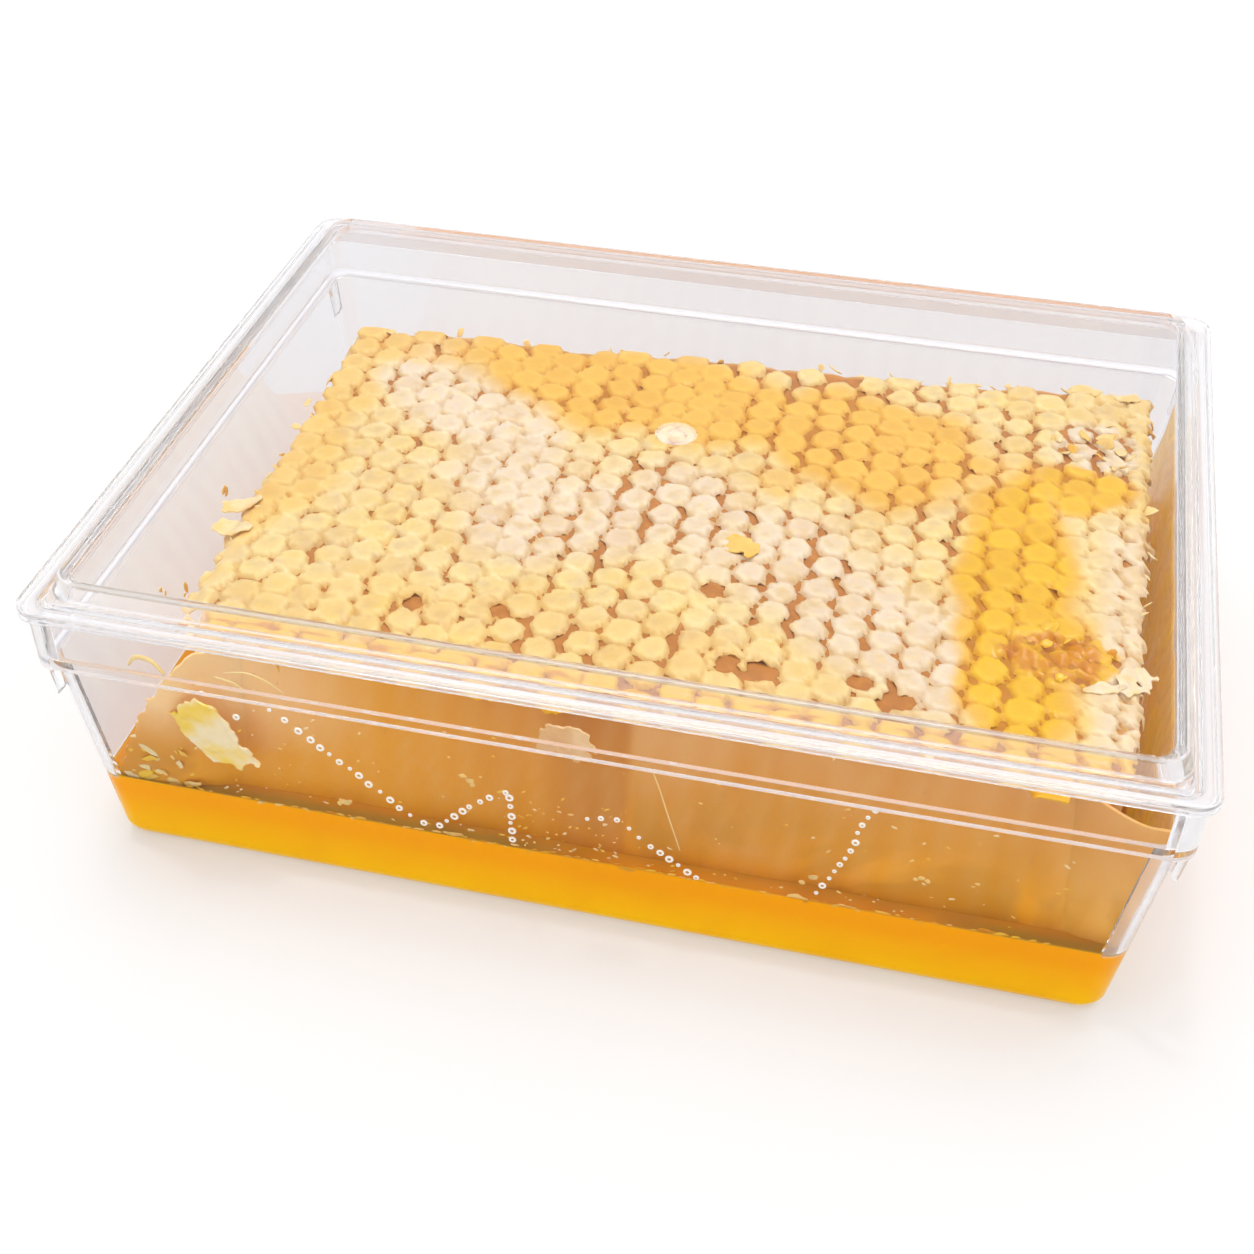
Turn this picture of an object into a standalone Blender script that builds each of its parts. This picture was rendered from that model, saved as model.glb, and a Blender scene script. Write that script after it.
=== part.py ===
"""A shut, clear plastic box with a slab of capped honeycomb standing in its own honey.

The box is a drafted tray with an upright collar above a shoulder, and a lid whose raised
panel sits inside a flange that caps the collar.  Lengths below are in millimetres; the
model is in metres, +Z up, with its origin under the middle of the base.
"""
import math

import bmesh
import bpy
from mathutils import Vector, noise

MM = 0.001

# ---- driving dimensions, in millimetres -------------------------------------------------
LENGTH = 152.0              # lid flange, along X
WIDTH = 118.0               # lid flange, along Y
HEIGHT = 46.6               # base to the top of the lid's panel
WALL = 1.0                  # thickness of the tray's and the lid's walls
GAP = 0.3                   # space kept between pieces that touch
CORNER_STEPS = 5            # facets round each corner

FLANGE_TOP = 44.1           # upper face of the lid's flange
FLANGE_DROP = 1.7           # height of the flange's outer skirt
SKIRT_WALL = 0.7            # thickness of that skirt
PANEL_INSET = 4.4           # flange's edge to the edge of the raised panel
PANEL_FOOT = 3.5            # flange's edge to the foot of the panel's wall
PLUG_INSET = 2.4            # flange's edge to the rib that plugs into the collar
PLUG_DROP = 3.4             # depth of that rib below the flange's upper face
PLUG_WALL = 0.8

COLLAR_INSET = 1.0          # flange's edge to the collar's outer face
SHOULDER_TOP = 34.9         # ledge inside the tray, where the collar begins
WALL_INSET_TOP = 2.3        # flange's edge to the drafted wall, just under the shoulder
WALL_INSET_BASE = 5.9       # and at the base
BASE_FILLET = 1.7

FLANGE_RADIUS = 3.4         # corner radii, seen from above
COLLAR_RADIUS = 2.8
WALL_RADIUS = 3.6

FIN_REACH = 1.1             # flange's edge to a stacking fin's outer edge
FIN_DROP = 6.6              # how far a fin hangs below the shoulder
FIN_WALL = 1.1
FIN_SETBACK = 5.0           # flange's long edge to the middle of a fin

GATE_RADIUS = 2.9           # moulding mark in the middle of the lid
GATE_DEPTH = 0.35
GATE_NUB = 0.9
EDGE_SOFT = 0.4             # small bevels along the box's edges

HONEY_LEVEL = 12.2          # height of the honey's surface

CELL_ACROSS = 4.8           # spacing of the columns of cells, along X
CELL_ALONG = 5.1            # spacing of the cells within a column, along Y
CAP_RISE = 0.7              # how far a cap's middle stands above its rim
COMB_TOP = 36.7             # mean height of the caps
COMB_SWELL = 0.7            # slow rise and fall of the capped face
COMB_BASE = WALL + GAP
OUTLINE_STEPS = 18          # facets along each side of the slab

# corners of the slab, front left first and then counter-clockwise
SLAB_FOOT = ((-66.8, -50.9), (67.1, -50.9), (67.8, 47.6), (-65.4, 41.0))
SLAB_CROWN = ((-56.6, -48.9), (67.2, -48.9), (67.9, 43.6), (-61.5, 35.0))
SLAB_LEAN_FROM = 9.0        # the left end starts to lean in above this height
SLAB_LEVELS = (COMB_BASE, 9.0, 14.0, 19.0, 24.0, 29.0, 33.0, 41.0)

# loose wax between the slab and the tray's front: middle, width and height, and tilt
FLAKE_THICKNESS = 0.7
FLAKE_MIDDLE = (-51.8, -52.4, 23.0)
FLAKE_SIZE = (13.5, 14.0)
FLAKE_TILT = 24.0
FOLD_MIDDLE = (-4.6, -52.4, 31.0)
FOLD_SIZE = (7.0, 7.4)
FOLD_TILT = -12.0


# ---- shared helpers ---------------------------------------------------------------------
def clear_scene():
    for thing in list(bpy.data.objects):
        bpy.data.objects.remove(thing, do_unlink=True)


def make_material(name, colour, roughness, transmission=0.0):
    mat = bpy.data.materials.new(name)
    mat.use_nodes = True
    shader = mat.node_tree.nodes["Principled BSDF"]
    shader.inputs["Base Color"].default_value = (*colour, 1.0)
    shader.inputs["Roughness"].default_value = roughness
    shader.inputs["Metallic"].default_value = 0.0
    shader.inputs["Transmission Weight"].default_value = transmission
    return mat


def ring(inset, height, radius):
    """Points of a rounded rectangle, `inset` inside the flange's edge, counter-clockwise."""
    half_x = LENGTH / 2 - inset - radius
    half_y = WIDTH / 2 - inset - radius
    points = []
    for quarter, (sx, sy) in enumerate(((1, 1), (-1, 1), (-1, -1), (1, -1))):
        for step in range(CORNER_STEPS + 1):
            angle = math.pi / 2 * (quarter + step / CORNER_STEPS)
            points.append(Vector((sx * half_x + radius * math.cos(angle),
                                  sy * half_y + radius * math.sin(angle), height)) * MM)
    return points


def loft(name, rings, mat, cutter=False):
    """Skin a stack of rings and cap both ends, as one closed body."""
    bm = bmesh.new()
    rows = [[bm.verts.new(point) for point in points] for points in rings]
    count = len(rows[0])
    for lower, upper in zip(rows, rows[1:]):
        for i in range(count):
            j = (i + 1) % count
            bm.faces.new((lower[i], lower[j], upper[j], upper[i]))
    bm.faces.new(list(reversed(rows[0])))
    bm.faces.new(rows[-1])
    return finish(name, bm, mat, cutter)


def finish(name, bm, mat, cutter=False):
    bmesh.ops.recalc_face_normals(bm, faces=bm.faces)
    mesh = bpy.data.meshes.new(name)
    bm.to_mesh(mesh)
    bm.free()
    obj = bpy.data.objects.new(name, mesh)
    bpy.context.scene.collection.objects.link(obj)
    if mat:
        mesh.materials.append(mat)
    if cutter:
        obj.hide_render = True
        obj.display_type = "WIRE"
    else:
        mesh.shade_smooth()
        mesh.set_sharp_from_angle(angle=math.radians(35))
    return obj


def combine(target, operand, operation):
    step = target.modifiers.new(operation.title(), "BOOLEAN")
    step.operation = operation
    step.solver = "EXACT"
    step.object = operand


def wall_inset(height):
    """Inset of the tray's drafted outer wall at a height."""
    return WALL_INSET_BASE + (WALL_INSET_TOP - WALL_INSET_BASE) * height / SHOULDER_TOP


# ---- the box ----------------------------------------------------------------------------
def make_tray(mat):
    shoulder_under = SHOULDER_TOP - WALL
    collar_top = FLANGE_TOP - WALL - GAP
    collar_inner = COLLAR_INSET + WALL
    ledge_edge = WALL_INSET_TOP + WALL
    rings = []
    for degrees in (0, 30, 60, 90):
        turn = math.radians(degrees)
        height = BASE_FILLET * (1 - math.cos(turn))
        rings.append(ring(wall_inset(height) + BASE_FILLET * (1 - math.sin(turn)), height, WALL_RADIUS))
    rings += [
        ring(wall_inset(shoulder_under), shoulder_under, WALL_RADIUS),
        ring(COLLAR_INSET + EDGE_SOFT, shoulder_under, COLLAR_RADIUS),
        ring(COLLAR_INSET, shoulder_under + EDGE_SOFT, COLLAR_RADIUS),
        ring(COLLAR_INSET, collar_top, COLLAR_RADIUS),
        ring(collar_inner, collar_top, COLLAR_RADIUS),
        ring(collar_inner + 0.1, SHOULDER_TOP, COLLAR_RADIUS),
        ring(ledge_edge, SHOULDER_TOP - 0.2, WALL_RADIUS - WALL),
    ]
    for degrees in (90, 45, 0):
        turn = math.radians(degrees)
        height = WALL + (BASE_FILLET - WALL) * (1 - math.cos(turn))
        rings.append(ring(wall_inset(height) + WALL + (BASE_FILLET - WALL) * (1 - math.sin(turn)),
                          height, WALL_RADIUS - WALL))
    tray = loft("tray", rings, mat)
    combine(tray, make_fins(), "UNION")
    return tray


def make_fins():
    """Four thin plates under the shoulder's ends, which keep stacked trays apart."""
    bm = bmesh.new()
    top = SHOULDER_TOP - WALL / 2
    bottom = SHOULDER_TOP - WALL - FIN_DROP
    outer = LENGTH / 2 - FIN_REACH
    inner = LENGTH / 2 - wall_inset(bottom) - WALL / 2
    profile = ((inner, top), (outer, top), (outer - 0.5, bottom + 0.4), (outer - 1.2, bottom),
               (inner, bottom + 1.4))
    for side_x in (-1, 1):
        for side_y in (-1, 1):
            middle = side_y * (WIDTH / 2 - FIN_SETBACK)
            near, far = ([bm.verts.new(Vector((side_x * x, middle + offset, z)) * MM)
                          for x, z in profile] for offset in (-FIN_WALL / 2, FIN_WALL / 2))
            bm.faces.new(near)
            bm.faces.new(list(reversed(far)))
            for i in range(len(profile)):
                j = (i + 1) % len(profile)
                bm.faces.new((near[j], near[i], far[i], far[j]))
    return finish("fins_guide", bm, None, cutter=True)


def make_lid(mat):
    under = FLANGE_TOP - WALL
    skirt_foot = FLANGE_TOP - FLANGE_DROP
    plug_foot = FLANGE_TOP - PLUG_DROP
    panel_radius = FLANGE_RADIUS
    rings = [
        ring(PANEL_INSET + WALL + 0.6, HEIGHT - WALL, panel_radius),
        ring(PANEL_INSET + WALL, HEIGHT - WALL - 0.5, panel_radius),
        ring(PANEL_FOOT + WALL + 0.1, under, panel_radius),
        ring(PLUG_INSET + PLUG_WALL, under, COLLAR_RADIUS - WALL),
        ring(PLUG_INSET + PLUG_WALL + 0.1, plug_foot, COLLAR_RADIUS - WALL),
        ring(PLUG_INSET + 0.1, plug_foot, COLLAR_RADIUS - 0.5),
        ring(PLUG_INSET, under, COLLAR_RADIUS - 0.5),
        ring(SKIRT_WALL, under, FLANGE_RADIUS - SKIRT_WALL),
        ring(SKIRT_WALL, skirt_foot, FLANGE_RADIUS - SKIRT_WALL),
        ring(0.0, skirt_foot, FLANGE_RADIUS),
        ring(0.0, FLANGE_TOP - EDGE_SOFT, FLANGE_RADIUS),
        ring(EDGE_SOFT, FLANGE_TOP, FLANGE_RADIUS),
        ring(PANEL_FOOT, FLANGE_TOP, panel_radius),
        ring(PANEL_INSET - 0.1, HEIGHT - 0.6, panel_radius),
        ring(PANEL_INSET + 0.1, HEIGHT - 0.15, panel_radius),
        ring(PANEL_INSET + 0.5, HEIGHT, panel_radius),
    ]
    lid = loft("lid", rings, mat)
    combine(lid, make_gate_groove(), "DIFFERENCE")
    return lid


def make_gate_groove():
    """A shallow ring sunk in the lid, round the nub where the plastic was fed in."""
    steps = 24
    rings = []
    for radius, height in ((GATE_NUB, HEIGHT - GATE_DEPTH), (GATE_RADIUS - 0.3, HEIGHT - GATE_DEPTH),
                           (GATE_RADIUS, HEIGHT + 1), (GATE_NUB - 0.2, HEIGHT + 1)):
        rings.append([Vector((radius * math.cos(math.tau * i / steps),
                              radius * math.sin(math.tau * i / steps), height)) * MM
                      for i in range(steps)])
    bm = bmesh.new()
    rows = [[bm.verts.new(point) for point in points] for points in rings]
    for row, following in zip(rows, rows[1:] + rows[:1]):
        for i in range(steps):
            j = (i + 1) % steps
            bm.faces.new((row[i], row[j], following[j], following[i]))
    return finish("gate_guide", bm, None, cutter=True)


# ---- the comb ---------------------------------------------------------------------------
def lean(height):
    """How far the slab's outline has moved from its foot to its crown, 0 to 1."""
    t = (height - SLAB_LEAN_FROM) / (COMB_TOP - SLAB_LEAN_FROM)
    t = min(max(t, 0.0), 1.0)
    return t * t * (3 - 2 * t)


def slab_outline(height, grow=0.0):
    """The slab's cut edge at a height: four slightly wavy sides with rounded corners."""
    t = lean(height)
    corners = [Vector((foot[0] + (crown[0] - foot[0]) * t, foot[1] + (crown[1] - foot[1]) * t))
               for foot, crown in zip(SLAB_FOOT, SLAB_CROWN)]
    middle = sum(corners, Vector((0, 0))) / 4
    points = []
    for side in range(4):
        start, end = corners[side], corners[(side + 1) % 4]
        along = (end - start).normalized()
        outward = Vector((along.y, -along.x))
        for step in range(OUTLINE_STEPS):
            s = step / OUTLINE_STEPS
            spot = start.lerp(end, s)
            ends = min(s, 1 - s) * (end - start).length
            corner_cut = 1.4 * max(0.0, 1 - ends / 4.0) ** 2
            wave = noise.noise(Vector((spot.x, spot.y, height * 0.6)) * 0.09)
            waviness = 0.5 if side == 0 else 0.9
            inward = (spot - middle).normalized() * -corner_cut
            spot = spot + inward + outward * (waviness * (wave - 0.5) + grow)
            points.append(Vector((spot.x, spot.y, height)) * MM)
    return points


def cap_height(x, y):
    slow = noise.noise(Vector((x * 0.045, y * 0.045, 3.0)))
    return COMB_TOP + COMB_SWELL * slow * 1.6


def make_cap_relief():
    """A wide plate whose upper face is a field of six-sided caps, each raised in its middle."""
    bm = bmesh.new()
    rim = {}

    def rim_vertex(x, y):
        key = (round(x, 3), round(y, 3))
        if key not in rim:
            stray = noise.noise_vector(Vector((x, y, 7.0)) * 0.8) * 0.35
            px, py = x + stray.x, y + stray.y
            rim[key] = bm.verts.new(Vector((px, py, cap_height(px, py) - CAP_RISE / 2)) * MM)
        return rim[key]

    columns = int(LENGTH / 2 / CELL_ACROSS)
    rows = int(WIDTH / 2 / CELL_ALONG)
    for column in range(-columns, columns + 1):
        x = column * CELL_ACROSS
        shift = CELL_ALONG / 2 if column % 2 else 0.0
        for row in range(-rows, rows + 1):
            y = row * CELL_ALONG + shift
            uneven = 0.35 * noise.noise(Vector((x, y, 11.0)) * 0.7)
            centre = bm.verts.new(Vector((x, y, cap_height(x, y) + CAP_RISE / 2 + uneven)) * MM)
            corners = [rim_vertex(x + dx * CELL_ACROSS / 3, y + dy * CELL_ALONG / 2)
                       for dx, dy in ((2, 0), (1, 1), (-1, 1), (-2, 0), (-1, -1), (1, -1))]
            for i in range(6):
                bm.faces.new((centre, corners[i], corners[(i + 1) % 6]))
    edge = [e for e in bm.edges if e.is_boundary]
    grown = bmesh.ops.extrude_edge_only(bm, edges=edge)["geom"]
    foot = [v for v in grown if isinstance(v, bmesh.types.BMVert)]
    for vert in foot:
        vert.co.z = -HEIGHT * MM
    foot_edges = [e for e in grown if isinstance(e, bmesh.types.BMEdge) and e.is_boundary]
    bmesh.ops.contextual_create(bm, geom=foot_edges)
    return finish("caps_guide", bm, None, cutter=True)


def make_comb(mat):
    comb = loft("comb", [slab_outline(height) for height in SLAB_LEVELS], mat)
    combine(comb, make_cap_relief(), "INTERSECT")
    return comb


def make_honey(mat):
    """Honey up to its level: the tray's inside, less the space that the slab takes."""
    rings = []
    inner_radius = WALL_RADIUS - WALL - GAP
    floor = WALL + GAP
    for height, extra in ((floor, 0.7), (floor + 0.25, 0.2), (floor + 0.9, 0.0), (HONEY_LEVEL, 0.0)):
        rings.append(ring(wall_inset(height) + WALL + GAP + extra, height, inner_radius))
    honey = loft("honey", rings, mat)
    levels = (-1.0, COMB_BASE + 0.1, 9.0, HONEY_LEVEL + 2)
    shaft = loft("slab_guide", [slab_outline(height, GAP) for height in levels], None, cutter=True)
    combine(honey, shaft, "DIFFERENCE")
    return honey


# ---- loose wax --------------------------------------------------------------------------
def make_flake(name, mat, middle, size, degrees, seed):
    """A torn, slightly curled sheet of wax, upright between the slab and the tray's front."""
    tilt = math.radians(degrees)
    columns, rows = 8, 8
    bm = bmesh.new()
    sheets = []
    for side in (-0.5, 0.5):
        grid = []
        for r in range(rows + 1):
            line = []
            for c in range(columns + 1):
                u, v = c / columns * 2 - 1, r / rows * 2 - 1
                spread = math.hypot(u, v)
                reach = 1.0
                if spread > 0:
                    square_to_round = max(abs(u), abs(v)) / spread
                    heading = math.atan2(v, u)
                    ragged = noise.noise(Vector((math.cos(heading), math.sin(heading), seed)) * 1.9)
                    reach = square_to_round * (0.86 + 0.24 * ragged)
                x, z = u * reach * size[0] / 2, v * reach * size[1] / 2
                y = 0.35 * (u * u - 0.4) + 0.2 * noise.noise(Vector((u, v, seed)) * 1.5)
                turned_x = x * math.cos(tilt) - z * math.sin(tilt)
                turned_z = x * math.sin(tilt) + z * math.cos(tilt)
                line.append(bm.verts.new(Vector((middle[0] + turned_x, middle[1] + y + side * FLAKE_THICKNESS,
                                                 middle[2] + turned_z)) * MM))
            grid.append(line)
        sheets.append(grid)
    front, back = sheets
    for r in range(rows):
        for c in range(columns):
            bm.faces.new((front[r][c], front[r][c + 1], front[r + 1][c + 1], front[r + 1][c]))
            bm.faces.new((back[r][c], back[r + 1][c], back[r + 1][c + 1], back[r][c + 1]))
    rim = ([(0, c) for c in range(columns)] + [(r, columns) for r in range(rows)]
           + [(rows, c) for c in range(columns, 0, -1)] + [(r, 0) for r in range(rows, 0, -1)])
    for (r0, c0), (r1, c1) in zip(rim, rim[1:] + rim[:1]):
        bm.faces.new((front[r1][c1], front[r0][c0], back[r0][c0], back[r1][c1]))
    return finish(name, bm, mat)


def build():
    clear_scene()
    plastic = make_material("clear_plastic", (0.93, 0.94, 0.95), 0.05, transmission=1.0)
    wax = make_material("capped_wax", (0.93, 0.78, 0.50), 0.45)
    amber = make_material("liquid_honey", (0.90, 0.45, 0.03), 0.08)
    pale_wax = make_material("pale_wax", (0.95, 0.82, 0.42), 0.4)
    make_tray(plastic)
    make_lid(plastic)
    make_comb(wax)
    make_honey(amber)
    make_flake("wax_flake", pale_wax, FLAKE_MIDDLE, FLAKE_SIZE, FLAKE_TILT, 2.0)
    make_flake("wax_fold", pale_wax, FOLD_MIDDLE, FOLD_SIZE, FOLD_TILT, 6.0)


build()
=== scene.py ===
"""A shut clear box with a slab of capped honeycomb in its own honey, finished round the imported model.

Lengths named below are in millimetres and become metres through MM.  The box's own sizes come
from the frame; what the frame doesn't hold, such as a fillet or a cap's rise, is named here.
"""
import math
import random

import bmesh
import bpy
from bpy.props import FloatProperty, FloatVectorProperty, IntProperty, PointerProperty
from mathutils import Matrix, Vector, kdtree, noise


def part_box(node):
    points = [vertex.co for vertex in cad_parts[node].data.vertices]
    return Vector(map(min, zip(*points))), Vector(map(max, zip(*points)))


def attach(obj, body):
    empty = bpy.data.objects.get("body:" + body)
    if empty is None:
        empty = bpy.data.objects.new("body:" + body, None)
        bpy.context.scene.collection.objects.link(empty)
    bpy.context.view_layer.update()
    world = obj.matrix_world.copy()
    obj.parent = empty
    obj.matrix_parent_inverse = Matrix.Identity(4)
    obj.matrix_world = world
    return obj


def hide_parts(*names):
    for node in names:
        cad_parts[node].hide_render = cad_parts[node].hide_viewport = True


bl_info = {
    "name": "Boxed Honeycomb",
    "version": (1, 0, 0),
    "blender": (4, 5, 0),
    "location": "View3D > Sidebar > Honeycomb",
    "description": "Builds a shut clear box with a slab of capped honeycomb standing in honey",
    "category": "Object",
}

MM = 0.001

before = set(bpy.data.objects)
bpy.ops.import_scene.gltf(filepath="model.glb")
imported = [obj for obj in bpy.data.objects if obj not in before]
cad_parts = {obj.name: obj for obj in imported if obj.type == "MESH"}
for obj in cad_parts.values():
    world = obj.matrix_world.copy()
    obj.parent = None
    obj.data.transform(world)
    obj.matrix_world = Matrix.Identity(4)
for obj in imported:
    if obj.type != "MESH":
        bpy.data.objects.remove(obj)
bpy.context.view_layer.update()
LID_LOW, LID_HIGH = (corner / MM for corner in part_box("lid"))
TRAY_LOW, TRAY_HIGH = (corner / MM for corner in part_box("tray"))
COMB_LOW, COMB_HIGH = (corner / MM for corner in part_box("comb"))
HONEY_LOW, HONEY_HIGH = (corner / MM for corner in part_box("honey"))

# ---- the box, in millimetres ------------------------------------------------------------
LENGTH = LID_HIGH.x - LID_LOW.x
WIDTH = LID_HIGH.y - LID_LOW.y
HEIGHT = LID_HIGH.z
WALL = 1.0
CORNER_STEPS = 12
PLUG_FOOT = LID_LOW.z
FLANGE_TOP = HEIGHT - 2.5
FLANGE_DROP = 1.7
SKIRT_WALL = 0.7
PANEL_INSET = 4.4
PANEL_FOOT = 3.5
PLUG_INSET = 2.4
PLUG_WALL = 0.8
COLLAR_INSET = 1.0
COLLAR_TOP = TRAY_HIGH.z
SHOULDER_TOP = 34.9
WALL_INSET_TOP = 2.3
WALL_INSET_BASE = 5.9
BASE_FILLET = 1.7
FLANGE_RADIUS = 3.4
COLLAR_RADIUS = 2.8
WALL_RADIUS = 3.6
FIN_REACH = 1.1
FIN_DROP = 6.6
FIN_WALL = 1.1
FIN_SETBACK = 5.0
GATE_RADIUS = 2.9
GATE_NUB = 1.2
PANE_IOR = 1.12             # of the flat panes that face the viewer, to keep their glare down

# ---- the slab of comb -------------------------------------------------------------------
HONEY_LEVEL = HONEY_HIGH.z
CAP_LEVEL = 36.7            # mean height of the cappings
BED_DROP = 0.65             # how far the wax between the cappings lies below them
SLAB_FOOT = ((-66.8, -50.9), (67.1, -50.9), (67.8, 47.6), (-65.4, 41.0))
SLAB_CROWN = ((-56.6, -48.9), (67.2, -48.9), (67.9, 43.6), (-61.5, 35.0))
SLAB_LEAN_FROM = 9.0
SIDE_STEPS = 84             # points along each side of the slab's outline
FLUTE_DEPTHS = (0.15, 0.9, 0.8, 0.7)    # cut cells on the front, right, back and left sides
COLUMN_PITCH = 4.83         # from one column of cells to the next, along X
CELL_PITCH = 5.02           # from cell to cell within a column, along Y

# Where honey shows through the cappings: middle, half widths, turn in degrees and strength.
HONEYED_SPOTS = (
    ((-12.0, 26.5), (36.0, 15.0), -12.0, 1.0),
    ((-3.0, 33.0), (7.0, 6.0), 0.0, 0.5),
    ((27.0, 19.0), (21.0, 17.0), -25.0, 0.95),
    ((14.0, 5.0), (6.0, 5.0), 0.0, 0.5),
    ((51.5, -16.0), (9.5, 41.0), 3.0, 1.7),
    ((58.0, 15.0), (9.0, 6.5), -10.0, 1.5),
    ((-58.0, 2.0), (9.0, 36.0), 0.0, 0.5),
    ((-47.0, 33.0), (18.0, 8.0), 0.0, 0.55),
    ((-14.0, -40.0), (50.0, 12.0), 0.0, 0.3),
)
CRUSHED_PATCH = ((56.8, -26.0), (8.8, 6.0))     # torn, honey-wet cells near the right end
WET_CORNER = ((60.0, 27.0), (7.2, 7.6))         # torn, glinting cells at the back right, their glints painted in as pale wax
OPEN_CELLS = (      # middle and radius
    ((32.4, -37.2), 1.5), ((37.8, -39.5), 2.0), ((19.5, -38.6), 1.9), ((15.0, -38.3), 1.8),
    ((10.5, -23.2), 1.8), ((-28.7, -35.6), 1.6), ((-16.8, -34.4), 1.4),
)
SHEET_STEP = 0.6            # between the points of the capped face
BLUSH_BAND = ((-50.0, 24.0, 7.0), (-30.0, 12.0, 12.0), (-18.0, -12.0, 12.0), (2.0, -4.0, 12.0),
              (22.0, -14.0, 13.0), (42.0, -34.0, 10.0))  # dry, pale cappings: X, Y and half width
LOOSE_SHEETS = (    # middle, half widths, turn in degrees, how honeyed and how pale
    ((67.0, -29.0), (2.0, 3.4), -24.0, 0.05, 0.9),
    ((63.0, -31.5), (2.6, 1.1), 24.0, 0.1, 0.8),
    ((64.6, 43.0), (2.4, 1.5), 20.0, 0.3, 0.4),
    ((-60.5, -18.6), (3.0, 1.8), 30.0, 0.2, 0.4),
    ((-59.5, -24.4), (3.0, 1.9), -10.0, 0.1, 0.4),
    ((11.8, -12.1), (3.4, 2.0), -12.0, 0.75, 0.0),
)
TORN_EDGE = ((-68.9, 11.8), (-64.9, 19.3), (-59.7, 30.0), (-54.9, 35.2))    # X and Z, front left
FLAKE_OUTLINE = ((-57.6, 26.6), (-53.1, 30.6), (-50.8, 28.2), (-48.7, 23.8), (-46.3, 18.7),
                 (-52.6, 18.4), (-55.0, 21.3))      # X and Z on the wall
WAX_HAIRS = (       # half thickness, then X, Z and distance behind the wall's inner face
    (0.11, (-48.5, 36.2, 0.8), (-45.3, 36.9, 0.8), (-42.6, 36.0, 0.8), (-40.4, 34.2, 0.8)),
    (0.10, (9.0, 32.2, 0.2), (10.0, 28.7, 0.2), (11.1, 24.1, 0.2), (12.8, 17.4, 0.2)),
    (0.34, (-62.4, 34.4, 1.2), (-61.2, 36.0, 1.2), (-58.9, 36.0, 1.0), (-57.3, 33.9, 0.9)),
    (0.14, (-50.0, 35.0, 1.0), (-47.4, 34.6, 0.8), (-45.9, 33.4, 0.8), (-44.5, 33.9, 0.8)),
)
WALL_CRUMBS = (     # wall, place along it, height and half width
    ("left", -2.0, 26.0, 0.8),
    ("left", -21.0, 20.0, 0.6),
    ("left", -27.0, 24.0, 0.5),
    ("front", 30.0, 16.0, 0.5),
    ("front", 44.0, 20.0, 0.4),
    ("front", -16.0, 24.0, 0.5),
    ("front", -34.0, 14.5, 0.7),
)
BUBBLE_CHAINS = (   # X and Z on the front wall
    ((-51.9, 32.4),),
    ((-47.7, 28.6),),
    ((-42.5, 31.3), (-40.6, 29.7), (-37.5, 26.7), (-31.2, 21.1), (-24.7, 14.6)),
    ((-22.7, 13.6), (-20.5, 13.8), (-15.9, 18.8), (-12.9, 21.4), (-10.8, 22.9)),
    ((-10.3, 22.0), (-10.1, 18.4), (-10.3, 13.6)),
    ((0.4, 20.6), (4.3, 21.5), (5.9, 20.1), (8.8, 17.3), (15.2, 12.4)),
    ((37.1, 31.9), (35.9, 28.9), (34.7, 23.5), (32.6, 17.2), (30.4, 11.9)),
    ((47.1, 11.1),),
)


def seeded(*numbers):
    """A random source that depends only on its numbers."""
    return random.Random("/".join(str(round(number, 3)) for number in numbers))


def smooth_step(low, high, value):
    t = min(max((value - low) / (high - low), 0.0), 1.0)
    return t * t * (3 - 2 * t)


# ---- meshes -----------------------------------------------------------------------------
def keep_piece(name, bm, materials, replaces=()):
    """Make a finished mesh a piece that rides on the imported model."""
    mesh = bpy.data.meshes.new(name)
    bm.to_mesh(mesh)
    bm.free()
    obj = bpy.data.objects.new(name, mesh)
    bpy.context.scene.collection.objects.link(obj)
    for material in materials:
        mesh.materials.append(material)
    mesh.shade_smooth()
    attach(obj, "root")
    if replaces:
        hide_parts(*replaces)
    return obj


def rounded_ring(inset, height, radius, side_steps=1):
    """Points of a rounded rectangle, `inset` inside the lid's edge, counter-clockwise."""
    half_x = LENGTH / 2 - inset - radius
    half_y = WIDTH / 2 - inset - radius
    points = []
    for quarter, (sx, sy) in enumerate(((1, 1), (-1, 1), (-1, -1), (1, -1))):
        for step in range(CORNER_STEPS + 1):
            angle = math.pi / 2 * (quarter + step / CORNER_STEPS)
            points.append(Vector((sx * half_x + radius * math.cos(angle),
                                  sy * half_y + radius * math.sin(angle), height)))
        following = Vector(((-sx if quarter % 2 == 0 else sx) * half_x,
                            (sy if quarter % 2 == 0 else -sy) * half_y, height))
        angle = math.pi / 2 * (quarter + 1)
        following += Vector((radius * math.cos(angle), radius * math.sin(angle), 0))
        for step in range(1, side_steps):
            points.append(points[-1].lerp(following, 1 / (side_steps - step + 1)))
    return points


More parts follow.
